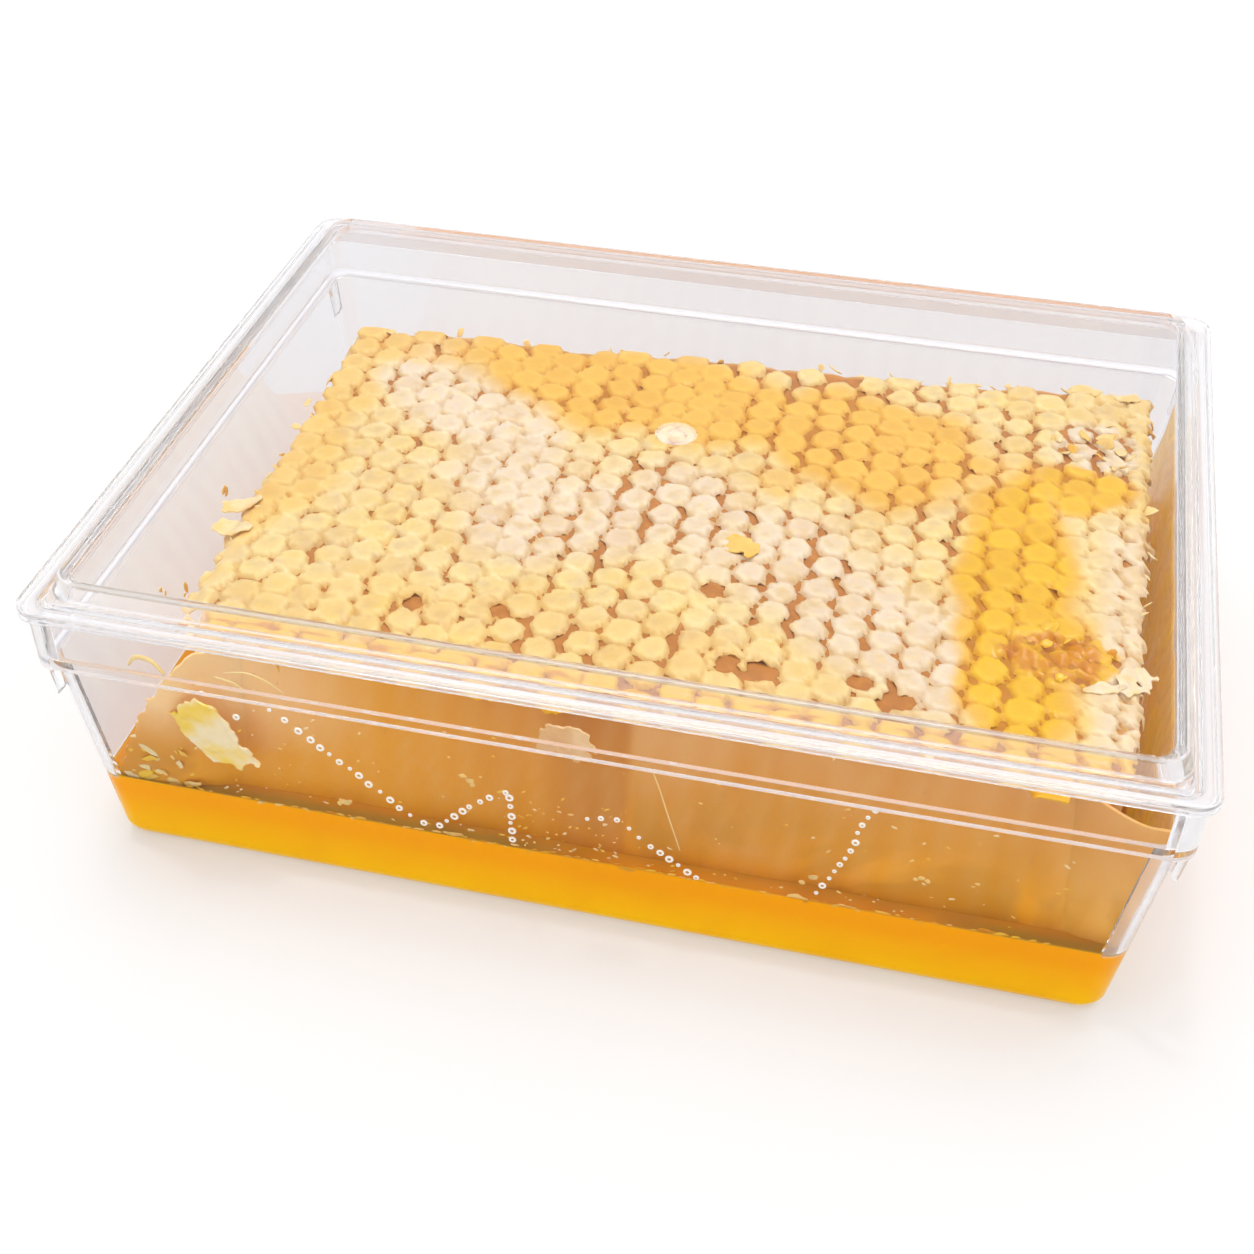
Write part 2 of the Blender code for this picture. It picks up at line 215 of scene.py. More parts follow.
def sweep(bm, rings, cap_start=True, cap_end=True, closed=False, creased=False):
    """Draw a loop of edges through a stack of rings by extruding it from each to the next."""
    count = len(rings[0])
    loop = bmesh.ops.create_circle(bm, segments=count, radius=1.0)["verts"]
    edges = list({edge for vert in loop for edge in vert.link_edges})
    across = list(edges)
    first = loop
    for vert, point in zip(loop, rings[0]):
        vert.co = point * MM
    for ring in rings[1:]:
        grown = bmesh.ops.extrude_edge_only(bm, edges=edges)["geom"]
        fresh = {item for item in grown if isinstance(item, bmesh.types.BMVert)}
        loop = [next(edge.other_vert(vert) for edge in vert.link_edges
                     if edge.other_vert(vert) in fresh) for vert in loop]
        edges = [item for item in grown if isinstance(item, bmesh.types.BMEdge)
                 and all(vert in fresh for vert in item.verts)]
        across += edges
        for vert, point in zip(loop, ring):
            vert.co = point * MM
    if closed:
        ends = edges + [edge for i, vert in enumerate(first) for edge in vert.link_edges
                        if edge.other_vert(vert) is first[(i + 1) % count]]
        bmesh.ops.bridge_loops(bm, edges=ends)
    if cap_start:
        bm.faces.new(reversed(first))
    if cap_end:
        bm.faces.new(loop)
    if creased:
        for edge in across:
            edge.smooth = False
    bmesh.ops.recalc_face_normals(bm, faces=bm.faces)


def soften(profile, reach):
    """Round each bend of a profile of (inset, height, corner radius) with a short curve."""
    rounded = [Vector(profile[0])]
    for before, corner, after in zip(profile, profile[1:], profile[2:]):
        before, corner, after = Vector(before), Vector(corner), Vector(after)
        arms = []
        for other in (before, after):
            arm = other - corner
            arms.append(corner + arm * min(reach / max(arm.xy.length, 1e-6), 0.4))
        start, end = arms
        for t in (0.0, 0.33, 0.67, 1.0):
            rounded.append(start.lerp(corner, t).lerp(corner.lerp(end, t), t))
    rounded.append(Vector(profile[-1]))
    return rounded


def box_body(profile, reach):
    """A thin-walled body from a profile that runs from one middle face to the other."""
    bm = bmesh.new()
    sweep(bm, [rounded_ring(*spot) for spot in soften(profile, reach)], creased=True)
    return bm


def wall_inset(height):
    """Inset of the tray's drafted outer wall at a height."""
    return WALL_INSET_BASE + (WALL_INSET_TOP - WALL_INSET_BASE) * height / SHOULDER_TOP


def inner_front(height):
    """Y of the front wall's inner face at a height."""
    return -(WIDTH / 2 - wall_inset(height) - WALL)


# ---- node trees -------------------------------------------------------------------------
def add_node(tree, kind, inputs=None, **settings):
    made = tree.nodes.new(kind)
    for key, value in settings.items():
        setattr(made, key, value)
    for key, value in (inputs or {}).items():
        if isinstance(value, bpy.types.NodeSocket):
            tree.links.new(value, made.inputs[key])
        else:
            made.inputs[key].default_value = value
    return made


def blend(tree, factor, first, second, mode="MIX"):
    """The socket of a colour mix."""
    made = add_node(tree, "ShaderNodeMix", data_type="RGBA", blend_type=mode)
    for socket, value in ((made.inputs[0], factor), (made.inputs[6], first), (made.inputs[7], second)):
        if isinstance(value, bpy.types.NodeSocket):
            tree.links.new(value, socket)
        elif isinstance(value, (int, float)):
            socket.default_value = value
        else:
            socket.default_value = (*value, 1.0)
    return made.outputs[2]


def ranged(tree, value, low, high, to_low=0.0, to_high=1.0):
    """The socket of a value mapped from one range to another, without passing its ends."""
    made = add_node(tree, "ShaderNodeMapRange", {"Value": value, "From Min": low, "From Max": high,
                                                 "To Min": to_low, "To Max": to_high})
    return made.outputs["Result"]


def maths(tree, operation, first, second=0.0):
    made = add_node(tree, "ShaderNodeMath", {0: first, 1: second}, operation=operation)
    return made.outputs[0]


def mottle(tree, scale, detail=3.0, roughness=0.55, distortion=0.0):
    """The socket of a noise on the piece's own coordinates."""
    place = add_node(tree, "ShaderNodeTexCoord").outputs["Object"]
    made = add_node(tree, "ShaderNodeTexNoise", {"Vector": place, "Scale": scale, "Detail": detail,
                                                 "Roughness": roughness, "Distortion": distortion})
    return made.outputs["Fac"]


def place_parts(tree):
    """The X, Y and Z sockets of a spot in the piece's own coordinates."""
    place = add_node(tree, "ShaderNodeTexCoord").outputs["Object"]
    return add_node(tree, "ShaderNodeSeparateXYZ", {"Vector": place}).outputs


def height_socket(tree):
    return place_parts(tree)["Z"]


def attribute(tree, name):
    return add_node(tree, "ShaderNodeAttribute", attribute_name=name).outputs["Fac"]


def start_material(name):
    material = bpy.data.materials.new(name)
    material.use_nodes = True
    tree = material.node_tree
    return material, tree, tree.nodes["Principled BSDF"]


def set_bump(tree, shader, height, strength, distance):
    made = add_node(tree, "ShaderNodeBump", {"Height": height, "Strength": strength,
                                             "Distance": distance})
    tree.links.new(made.outputs["Normal"], shader.inputs["Normal"])


def clear_plastic(name, tint, ior=1.57, clear=0.93, rough=0.015):
    """Clear moulded polystyrene, a little milky, which lets the light of the room in."""
    material, tree, shader = start_material(name)
    shader.inputs["Base Color"].default_value = (*tint, 1.0)
    shader.inputs["Roughness"].default_value = rough
    shader.inputs["IOR"].default_value = ior
    shader.inputs["Transmission Weight"].default_value = clear
    passing = add_node(tree, "ShaderNodeBsdfTransparent", {"Color": (0.965, 0.965, 0.97, 1.0)})
    path = add_node(tree, "ShaderNodeLightPath")
    lit = maths(tree, "MAXIMUM", path.outputs["Is Shadow Ray"], path.outputs["Is Diffuse Ray"])
    both = add_node(tree, "ShaderNodeMixShader", {0: lit, 1: shader.outputs[0],
                                                  2: passing.outputs[0]})
    tree.links.new(both.outputs[0], tree.nodes["Material Output"].inputs["Surface"])
    return material


def capping_wax(look, name="capping_wax", wet=False):
    """Wax cappings: pale and dry, or golden where honey wets them from below; the pale tones also paint the
    glints of wet wax as highlights.
    """
    material, tree, shader = start_material(name)
    honeyed = attribute(tree, "honeyed")
    patches = mottle(tree, 130.0, 3.0, 0.55)
    streaks = mottle(tree, 520.0, 4.0, 0.6, 0.6)
    dry = blend(tree, attribute(tree, "blush_and_glint"), look.wax_cream, look.wax_pale)
    yellow = maths(tree, "MULTIPLY", ranged(tree, patches, 0.45, 0.7, 0.0, 0.6),
                   ranged(tree, attribute(tree, "blush_and_glint"), 0.0, 0.8, 1.0, 0.1))
    dry = blend(tree, yellow, dry, look.wax_yellow)
    lips = maths(tree, "MULTIPLY", attribute(tree, "rim"), 0.7)
    dry = blend(tree, lips, dry, look.wax_rim)
    dry = blend(tree, ranged(tree, streaks, 0.45, 0.75, 0.0, 0.6), dry, look.wax_rim)
    # Greyer patches laid by noise: partly thin wax, partly painted shade standing in for small hollows in
    # the cappings
    hollows = ranged(tree, mottle(tree, 330.0, 2.0, 0.5), 0.50, 0.68, 0.0, 0.75)
    dry = blend(tree, hollows, dry, look.wax_hollow)
    gold = blend(tree, ranged(tree, honeyed, 0.1, 0.9), dry, look.wax_gold)
    gold = blend(tree, ranged(tree, honeyed, 1.0, 1.6), gold, look.wax_soaked)
    gold = blend(tree, ranged(tree, honeyed, 1.9, 2.6), gold, look.wax_amber)
    gold = blend(tree, ranged(tree, streaks, 0.5, 0.8, 0.0, 0.25), gold, look.wax_yellow)
    shade = blend(tree, attribute(tree, "shade"), (1.0, 1.0, 1.0), (0.82, 0.69, 0.53))
    colour = blend(tree, 1.0, gold, shade, "MULTIPLY")
    tree.links.new(colour, shader.inputs["Base Color"])
    shader.inputs["Roughness"].default_value = 0.2 if wet else 0.4
    shader.inputs["Subsurface Weight"].default_value = 0.25
    shader.inputs["Subsurface Radius"].default_value = (1.0, 0.6, 0.25)
    shader.inputs["Subsurface Scale"].default_value = 0.0012
    shader.inputs["Specular IOR Level"].default_value = 0.25
    shader.inputs["Coat Weight"].default_value = 0.35 if wet else 0.08
    shader.inputs["Coat Roughness"].default_value = 0.04 if wet else 0.1
    set_bump(tree, shader, mottle(tree, 900.0, 4.0, 0.6), 0.35, 0.0003)
    return material


def cell_wax(look, name="honey_filled_cells"):
    """The slab below the cappings: wax walls full of honey, golden low down and hazy above."""
    material, tree, shader = start_material(name)
    parts = place_parts(tree)
    height, along = parts["Z"], parts["X"]
    clouds = mottle(tree, 45.0, 4.0, 0.55, 0.5)
    specks = mottle(tree, 600.0, 3.0, 0.6)
    deep = blend(tree, ranged(tree, height, 0.012, 0.034), look.comb_low, look.comb_high)
    deep = blend(tree, ranged(tree, along, -0.012, -0.030, 0.0, 0.55), deep, look.comb_left)
    bright = maths(tree, "MULTIPLY", ranged(tree, along, 0.020, 0.045), ranged(tree, height, 0.030, 0.016))
    deep = blend(tree, bright, deep, look.comb_right)
    hazy = blend(tree, ranged(tree, clouds, 0.52, 0.75, 0.0, 0.4), deep, look.comb_haze)
    cloud = maths(tree, "MULTIPLY", ranged(tree, along, -0.030, -0.050),
                  ranged(tree, height, 0.018, 0.028))
    cloud = maths(tree, "MULTIPLY", cloud, ranged(tree, clouds, 0.30, 0.5, 0.55, 1.0))
    hazy = blend(tree, cloud, hazy, look.comb_cloud)
    rosy = maths(tree, "MULTIPLY", ranged(tree, along, 0.0040, 0.0056), ranged(tree, height, 0.018, 0.034))
    rosy = maths(tree, "MULTIPLY", rosy, ranged(tree, clouds, 0.35, 0.6, 0.15, 0.6))
    hazy = blend(tree, rosy, hazy, look.comb_rosy)
    end_haze = maths(tree, "MULTIPLY", ranged(tree, along, 0.060, 0.070),
                     ranged(tree, clouds, 0.3, 0.6, 0.35, 0.8))
    hazy = blend(tree, end_haze, hazy, look.comb_end)
    pools = mottle(tree, 28.0, 4.0, 0.6, 1.5)
    low_pools = maths(tree, "MULTIPLY", ranged(tree, pools, 0.5, 0.62), ranged(tree, height, 0.030, 0.016))
    hazy = blend(tree, maths(tree, "MULTIPLY", low_pools, 0.7), hazy, look.comb_pool)
    seam = maths(tree, "MULTIPLY", ranged(tree, along, -0.008, -0.003),
                 ranged(tree, along, 0.0052, 0.0042))
    hazy = blend(tree, maths(tree, "MULTIPLY", seam, 0.45), hazy, look.comb_seam)
    spotted = blend(tree, ranged(tree, specks, 0.68, 0.76, 0.0, 0.45), hazy, look.comb_spot)
    ridged = blend(tree, maths(tree, "MULTIPLY", attribute(tree, "ridge"), 0.7), spotted, look.wax_cream)
    bed = blend(tree, ranged(tree, attribute(tree, "honeyed"), 0.2, 1.2), look.gap_dry, look.gap_wet)
    bed = blend(tree, ranged(tree, specks, 0.45, 0.75, 0.0, 0.5), bed, look.comb_high)
    colour = blend(tree, attribute(tree, "bed"), ridged, bed)
    tree.links.new(colour, shader.inputs["Base Color"])
    shader.inputs["Roughness"].default_value = 0.35
    shader.inputs["Specular IOR Level"].default_value = 0.2
    shader.inputs["Subsurface Weight"].default_value = 0.2
    shader.inputs["Subsurface Radius"].default_value = (1.0, 0.5, 0.15)
    shader.inputs["Subsurface Scale"].default_value = 0.002
    set_bump(tree, shader, mottle(tree, 260.0, 4.0), 0.3, 0.0006)
    return material


def liquid_honey(look):
    """Clear amber honey, lit through and through, with its surface in the slab's shade."""
    material, tree, shader = start_material("liquid_honey")
    height = height_socket(tree)
    level = HONEY_LEVEL * MM
    glow = blend(tree, ranged(tree, height, 0.0, level * 0.75), look.honey_foot, look.honey_body)
    waves = mottle(tree, 70.0, 3.0, 0.5, 1.0)
    glow = blend(tree, ranged(tree, waves, 0.45, 0.75, 0.0, 0.35), glow, look.honey_deep)
    parts = place_parts(tree)
    near_wall = ranged(tree, parts["Y"], -0.0507, -0.0524)
    clear_of_slab = maths(tree, "MAXIMUM", ranged(tree, parts["X"], 0.004, -0.012),
                          ranged(tree, parts["X"], 0.044, 0.056))
    face = blend(tree, ranged(tree, waves, 0.4, 0.7), look.honey_surface, look.comb_low)
    face = blend(tree, maths(tree, "MULTIPLY", near_wall, clear_of_slab), face, look.honey_shaded)
    colour = blend(tree, attribute(tree, "surface"), glow, face)
    tree.links.new(colour, shader.inputs["Base Color"])
    shader.inputs["Roughness"].default_value = 0.1
    shader.inputs["Specular IOR Level"].default_value = 0.05
    shader.inputs["Subsurface Weight"].default_value = 0.3
    shader.inputs["Subsurface Radius"].default_value = (1.0, 0.45, 0.05)
    shader.inputs["Subsurface Scale"].default_value = 0.004
    set_bump(tree, shader, mottle(tree, 60.0, 2.0), 0.1, 0.0005)
    return material


def loose_wax(name, flat, folded):
    """Thin torn wax, with another colour, the folded one, laid in noise patches."""
    material, tree, shader = start_material(name)
    patches = mottle(tree, 160.0, 3.0, 0.5)
    colour = blend(tree, ranged(tree, patches, 0.45, 0.62), flat, folded)
    tree.links.new(colour, shader.inputs["Base Color"])
    shader.inputs["Roughness"].default_value = 0.35
    shader.inputs["Subsurface Weight"].default_value = 0.3
    shader.inputs["Subsurface Radius"].default_value = (1.0, 0.7, 0.3)
    shader.inputs["Subsurface Scale"].default_value = 0.001
    set_bump(tree, shader, mottle(tree, 700.0, 3.0), 0.3, 0.0003)
    return material


def bubble_white(look):
    """Painted highlight: the bright rims of tiny bubbles of air caught on the wall, as a pale opaque colour.
    """
    material, tree, shader = start_material("bubble_rim")
    colour = blend(tree, ranged(tree, mottle(tree, 900.0, 2.0), 0.3, 0.7), look.bubble_rim, (1.0, 0.97, 0.9))
    tree.links.new(colour, shader.inputs["Base Color"])
    shader.inputs["Roughness"].default_value = 0.15
    shader.inputs["Coat Weight"].default_value = 0.6
    return material


# ---- the comb ---------------------------------------------------------------------------
def lean(height):
    """How far the slab's outline has moved from its foot to its crown, 0 to 1."""
    return smooth_step(SLAB_LEAN_FROM, CAP_LEVEL, height)


def slab_corners(height):
    t = lean(height)
    return [Vector((foot[0] + (crown[0] - foot[0]) * t, foot[1] + (crown[1] - foot[1]) * t))
            for foot, crown in zip(SLAB_FOOT, SLAB_CROWN)]


def slab_outline(height):
    """The slab's cut edge at a height, with a flute for each cut cell, and each point's ridge."""
    corners = slab_corners(height)
    middle = sum(corners, Vector((0, 0))) / 4
    points, ridges = [], []
    for side in range(4):
        start, end = corners[side], corners[(side + 1) % 4]
        along = (end - start).normalized()
        outward = Vector((along.y, -along.x))
        pitch = COLUMN_PITCH if side % 2 == 0 else CELL_PITCH
        for step in range(SIDE_STEPS):
            spot = start.lerp(end, step / SIDE_STEPS)
            ends = min(step, SIDE_STEPS - step) / SIDE_STEPS * (end - start).length
            corner_cut = 1.4 * max(0.0, 1 - ends / 4.0) ** 2
            wave = noise.noise(Vector((spot.x, spot.y, height * 0.6)) * 0.09)
            wobble = noise.noise(Vector((spot.x * 0.2, spot.y * 0.2, height * 0.12))) * 1.6
            travel = (spot.x if side % 2 == 0 else spot.y) + wobble
            crest = abs(math.sin(math.pi * travel / pitch))
            above = smooth_step(HONEY_LEVEL - 4, HONEY_LEVEL + 6, height)
            flute = FLUTE_DEPTHS[side] * (crest - 1) * above
            waviness = 0.5 if side == 0 else 0.9
            inward = (spot - middle).normalized() * -corner_cut
            spot = spot + inward + outward * (waviness * (wave - 0.5) + flute)
            points.append(Vector((spot.x, spot.y, height)))
            ridges.append(crest ** 3 * above * (0.15 if side == 0 else 1.0))
    return points, ridges


def cap_height(x, y):
    """The slow rise and fall of the capped face."""
    return CAP_LEVEL + 1.1 * noise.noise(Vector((x * 0.045, y * 0.045, 3.0)))


def honeyed_at(x, y):
    """How much honey shows through the cappings at a spot, 0 where they are dry and pale."""
    warp = noise.noise_vector(Vector((x, y, 21.0)) * 0.11) * 4.0
    total = 0.0
    for (middle_x, middle_y), (half_x, half_y), degrees, strength in HONEYED_SPOTS:
        turn = math.radians(degrees)
        dx, dy = x + warp.x - middle_x, y + warp.y - middle_y
        u = (dx * math.cos(turn) + dy * math.sin(turn)) / half_x
        v = (dy * math.cos(turn) - dx * math.sin(turn)) / half_y
        total = max(total, strength * smooth_step(1.12, 0.62, math.hypot(u, v)))
    return total


def within(patch, x, y, ragged=0.25):
    """True inside a patch of middle and half widths, with a ragged edge."""
    (middle_x, middle_y), (half_x, half_y) = patch
    reach = math.hypot((x - middle_x) / half_x, (y - middle_y) / half_y)
    return reach < 1 + ragged * noise.noise(Vector((x, y, 5.0)) * 0.5)


def patch_share(patch, x, y):
    """How far inside a patch a spot lies: 0 at its ragged edge and beyond, 1 in its middle."""
    (middle_x, middle_y), (half_x, half_y) = patch
    reach = math.hypot((x - middle_x) / half_x, (y - middle_y) / half_y)
    return smooth_step(1.05, 0.7, reach + 0.25 * noise.noise(Vector((x, y, 5.0)) * 0.5))


def slab_margin(x, y):
    """How far inside the slab's crown a spot lies, less than 0 outside it."""
    corners = slab_corners(CAP_LEVEL)
    margins = []
    for start, end in zip(corners, corners[1:] + corners[:1]):
        along = (end - start).normalized()
        margins.append((Vector((x, y)) - start).dot(Vector((-along.y, along.x))))
    return min(margins)


def inside_slab(x, y, margin):
    return slab_margin(x, y) >= margin


def make_slab(look):
    """The block of cells: fluted sides, and an uneven bed between the cappings."""
    levels = [COMB_LOW.z + 0.9 + (CAP_LEVEL - BED_DROP - COMB_LOW.z - 0.9) * i / 22 for i in range(23)]
    rings, marks = [], []
    for height in levels:
        points, ridges = slab_outline(height)
        top = smooth_step(CAP_LEVEL - 4.0, CAP_LEVEL - BED_DROP, height)
        rings.append([point + Vector((0, 0, top * (cap_height(point.x, point.y) - CAP_LEVEL)))
                      for point in points])
        marks.append([(ridge, 0.0) for ridge in ridges])
    rim = rings[-1]
    middle = sum(rim, Vector()) / len(rim)
    for step in range(1, 40):
        share = 1 - step / 40
        ring = []
        for point in rim:
            spot = middle + (point - middle) * share
            dip = 0.35 * noise.noise(Vector((spot.x, spot.y, 9.0)) * 0.6)
            spot.z = cap_height(spot.x, spot.y) - BED_DROP + dip
            ring.append(spot)
        rings.append(ring)
        marks.append([(0.0, 1.0)] * len(ring))
    bm = bmesh.new()
    sweep(bm, rings)
    ridge_layer = bm.verts.layers.float.new("ridge")
    bed_layer = bm.verts.layers.float.new("bed")
    honeyed_layer = bm.verts.layers.float.new("honeyed")
    bm.verts.ensure_lookup_table()
    for vert, (ridge, bed) in zip(bm.verts, (mark for ring in marks for mark in ring)):
        vert[ridge_layer] = ridge
        vert[bed_layer] = bed
        vert[honeyed_layer] = honeyed_at(vert.co.x / MM, vert.co.y / MM)
    return keep_piece("comb_slab", bm, [cell_wax(look)], replaces=("comb",))


WAX_TONES = ("rim", "honeyed", "blush_and_glint", "shade")


def start_wax():
    """An empty mesh with the tones that the wax materials read."""
    bm = bmesh.new()
    for tone in WAX_TONES:
        bm.verts.layers.float.new(tone)
    return bm


def scrap_template(segments=18):
    """A unit disc of thin wax, domed and undercut at its edge, for each bit of wax to start from."""
    bm = start_wax()
    rings = []
    for reach, height in ((0.70, -1.5), (1.0, -0.80), (0.95, -0.42), (0.80, -0.12), (0.42, 0.0)):
        rings.append([Vector((reach * math.cos(math.tau * i / segments),
                              reach * math.sin(math.tau * i / segments), height))
                      for i in range(segments)])
    sweep(bm, rings)
    bmesh.ops.scale(bm, vec=(1 / MM, 1 / MM, 1 / MM), verts=bm.verts)
    rim = bm.verts.layers.float["rim"]
    for vert in bm.verts:
        vert[rim] = smooth_step(0.82, 0.96, vert.co.xy.length)
    mesh = bpy.data.meshes.new("scrap_template")
    bm.to_mesh(mesh)
    bm.free()
    return mesh


def add_scrap(bm, template, spot, size, turn, chance, ragged=0.12, lobes=0.0, dish=0.0,
              crumple=0.0, tones=()):
    """Add one bit of wax: `size` is its half widths and thickness, `turn` its slope or full turn."""
    start = len(bm.verts)
    bm.from_mesh(template)
    bm.verts.ensure_lookup_table()
    offset = chance.uniform(0, 90)
    layers = [(bm.verts.layers.float[name], value) for name, value in tones]
    for vert in bm.verts[start:]:
        x, y, z = vert.co
        reach = math.hypot(x, y)
        heading = Vector((x / reach, y / reach, offset)) if reach > 1e-6 else Vector((0, 0, offset))
        edge = 1 + reach * ragged * (noise.noise(heading * 1.1) * 1.3 + noise.noise(heading * 3.1))
        if lobes:
            edge += reach * lobes * math.cos(6 * (math.atan2(y, x) - math.pi / 6))
        local = Vector((x * edge * size[0], y * edge * size[1], z * size[2]))
        local.z += dish * (1 - reach * reach)
        if crumple:
            local.z += crumple * noise.noise(Vector((local.x, local.y, offset)) * 0.55)
        vert.co = (Vector(spot) + turn @ local) * MM
        for layer, value in layers:
            vert[layer] = value


def cap_spots():
    """Every cell's middle inside the slab, column by column."""
    columns = int(LENGTH / 2 / COLUMN_PITCH)
    rows = int(WIDTH / 2 / CELL_PITCH)
    for column in range(-columns, columns + 1):
        shift = CELL_PITCH / 2 if column % 2 else 0.0
        for row in range(-rows, rows + 1):
            x = column * COLUMN_PITCH
            y = row * CELL_PITCH + shift
            drift = noise.noise_vector(Vector((x, y, 2.0)) * 0.05) * 1.2
            jitter = noise.noise_vector(Vector((x, y, 13.0)) * 0.7) * 0.35
            yield x + drift.x + jitter.x, y + drift.y + jitter.y


def slope(across, along):
    """A small turn that lifts the side towards +X by `across` and towards +Y by `along`."""
    return Matrix.Rotation(-across, 3, "Y") @ Matrix.Rotation(along, 3, "X")


def tumbled(chance, lean):
    """A random turn about Z after a random lean of up to `lean` radians."""
    return (Matrix.Rotation(chance.uniform(0, math.tau), 3, "Z")
            @ Matrix.Rotation(chance.uniform(-lean, lean), 3, "X")
            @ Matrix.Rotation(chance.uniform(-lean, lean), 3, "Y"))


def blush_at(x, y):
    """How pale and dry the cappings are at a spot."""
    warp = noise.noise_vector(Vector((x, y, 33.0)) * 0.09) * 5.0
    spot = Vector((x + warp.x, y + warp.y))
    total = 0.0
    for start, end in zip(BLUSH_BAND, BLUSH_BAND[1:]):
        a, b = Vector(start[:2]), Vector(end[:2])
        share = min(max((spot - a).dot(b - a) / (b - a).length_squared, 0.0), 1.0)
        width = start[2] + (end[2] - start[2]) * share
        total = max(total, smooth_step(1.3, 0.4, (spot - a.lerp(b, share)).length / width))
    return max(total, 0.8 * smooth_step(60.0, 64.0, x) * smooth_step(12.0, 2.0, y))


def cut_sheet(bm, spans, step, inside, place, thickness, tones=None):
    """Add a thin sheet: a grid over `spans`, cut where `inside` is below 0, laid out by `place`."""
    (low_u, high_u), (low_v, high_v) = spans
    part = start_wax()
    bmesh.ops.create_grid(part, x_segments=round((high_u - low_u) / step),
                          y_segments=round((high_v - low_v) / step), size=0.5)
    bmesh.ops.triangulate(part, faces=part.faces[:])
    depths = {}
    for vert in part.verts:
        vert.co.x = low_u + (vert.co.x + 0.5) * (high_u - low_u)
        vert.co.y = low_v + (vert.co.y + 0.5) * (high_v - low_v)
        depths[vert] = inside(vert.co.x, vert.co.y)
    moved = {}
    for vert, depth in depths.items():
        if depth >= 0:
            continue
        crossings = []
        for edge in vert.link_edges:
            other = edge.other_vert(vert)
            if depths[other] > 0:
                crossings.append(vert.co.lerp(other.co, depth / (depth - depths[other])))
        if crossings:
            moved[vert] = sum(crossings, Vector((0, 0, 0))) / len(crossings)
    for vert, spot in moved.items():
        vert.co = spot
    waste = [face for face in part.faces if all(depths[vert] < 0 for vert in face.verts)]
    while waste:
        bmesh.ops.delete(part, geom=waste, context="FACES")
        knots = [vert for vert in part.verts if sum(edge.is_boundary for edge in vert.link_edges) > 2]
        waste = list({face for vert in knots for face in vert.link_faces})
    for vert in part.verts:
        u, v = vert.co.x, vert.co.y
        if tones:
            for name, value in tones(u, v).items():
                vert[part.verts.layers.float[name]] = value
        vert.co = Vector(place(u, v)) * MM
    bmesh.ops.recalc_face_normals(part, faces=part.faces[:])
    bmesh.ops.solidify(part, geom=part.faces[:], thickness=thickness * MM)
    bmesh.ops.recalc_face_normals(part, faces=part.faces[:])
    for edge in part.edges:
        edge.smooth = edge.calc_face_angle(0.0) < 0.9
    mesh = bpy.data.meshes.new("cut_sheet")
    part.to_mesh(mesh)
    part.free()
    bm.from_mesh(mesh)
    bpy.data.meshes.remove(mesh)


def capping_reader():
    """Lay a disc of wax over each cell, and return a function that reads the wax at a spot."""
    discs = []
    for x, y in cap_spots():
        if slab_margin(x, y) > (-2.5 if x > 55 else -1.0 if x < -45 else 0.3):
            chance = seeded(x, y)
            radius = 2.50 + chance.uniform(-0.22, 0.2) + 0.14 * smooth_step(5.0, -30.0, x)
            radius += 0.08 * min(honeyed_at(x, y), 1.0) + 0.16 * smooth_step(58.0, 63.0, x)
            discs.append((x, y, radius - 0.3 * patch_share(WET_CORNER, x, y), chance.random()))
    finder = kdtree.KDTree(len(discs))
    for number, disc in enumerate(discs):
        finder.insert((disc[0], disc[1], 0.0), number)
    finder.balance()
    known = {}

    def measure(x, y):
        grain = 0.24 * noise.noise(Vector((x, y, 6.0)) * 0.9)
        grain += 0.24 * noise.noise(Vector((x, y, 17.0)) * 2.2)
        grain *= 1.0 + 1.2 * smooth_step(58.0, 63.0, x)
        union, own, top = -1.0, 0.0, 0.0
        for _, number, _ in finder.find_range((x, y, 0.0), 4.2):
            disc_x, disc_y, radius, level = discs[number]
            dx, dy = x - disc_x, (y - disc_y) / 1.08
            distance = max(math.hypot(dx, dy), 0.01)
            swing = noise.noise(Vector((dx / distance, dy / distance, level * 60)) * 1.7)
            depth = radius * (1 + 0.16 * swing) - distance + grain
            union = max(union, depth)
            if depth > 0 and level > top:
                own, top = depth, level
        for (cell_x, cell_y), size in OPEN_CELLS:
            union = min(union, math.hypot(x - cell_x, y - cell_y) - size + 3.0 * grain)
        if x > 60:
            union = min(union, slab_margin(x, y) + 0.4 + 2.2 * grain)
        return union, own, top

    def read(x, y):
        """How far inside the wax a spot is, how far inside its top disc, and that disc's level."""
        key = (round(x, 4), round(y, 4))
        if key not in known:
            known[key] = measure(x, y)
        return known[key]

    return read


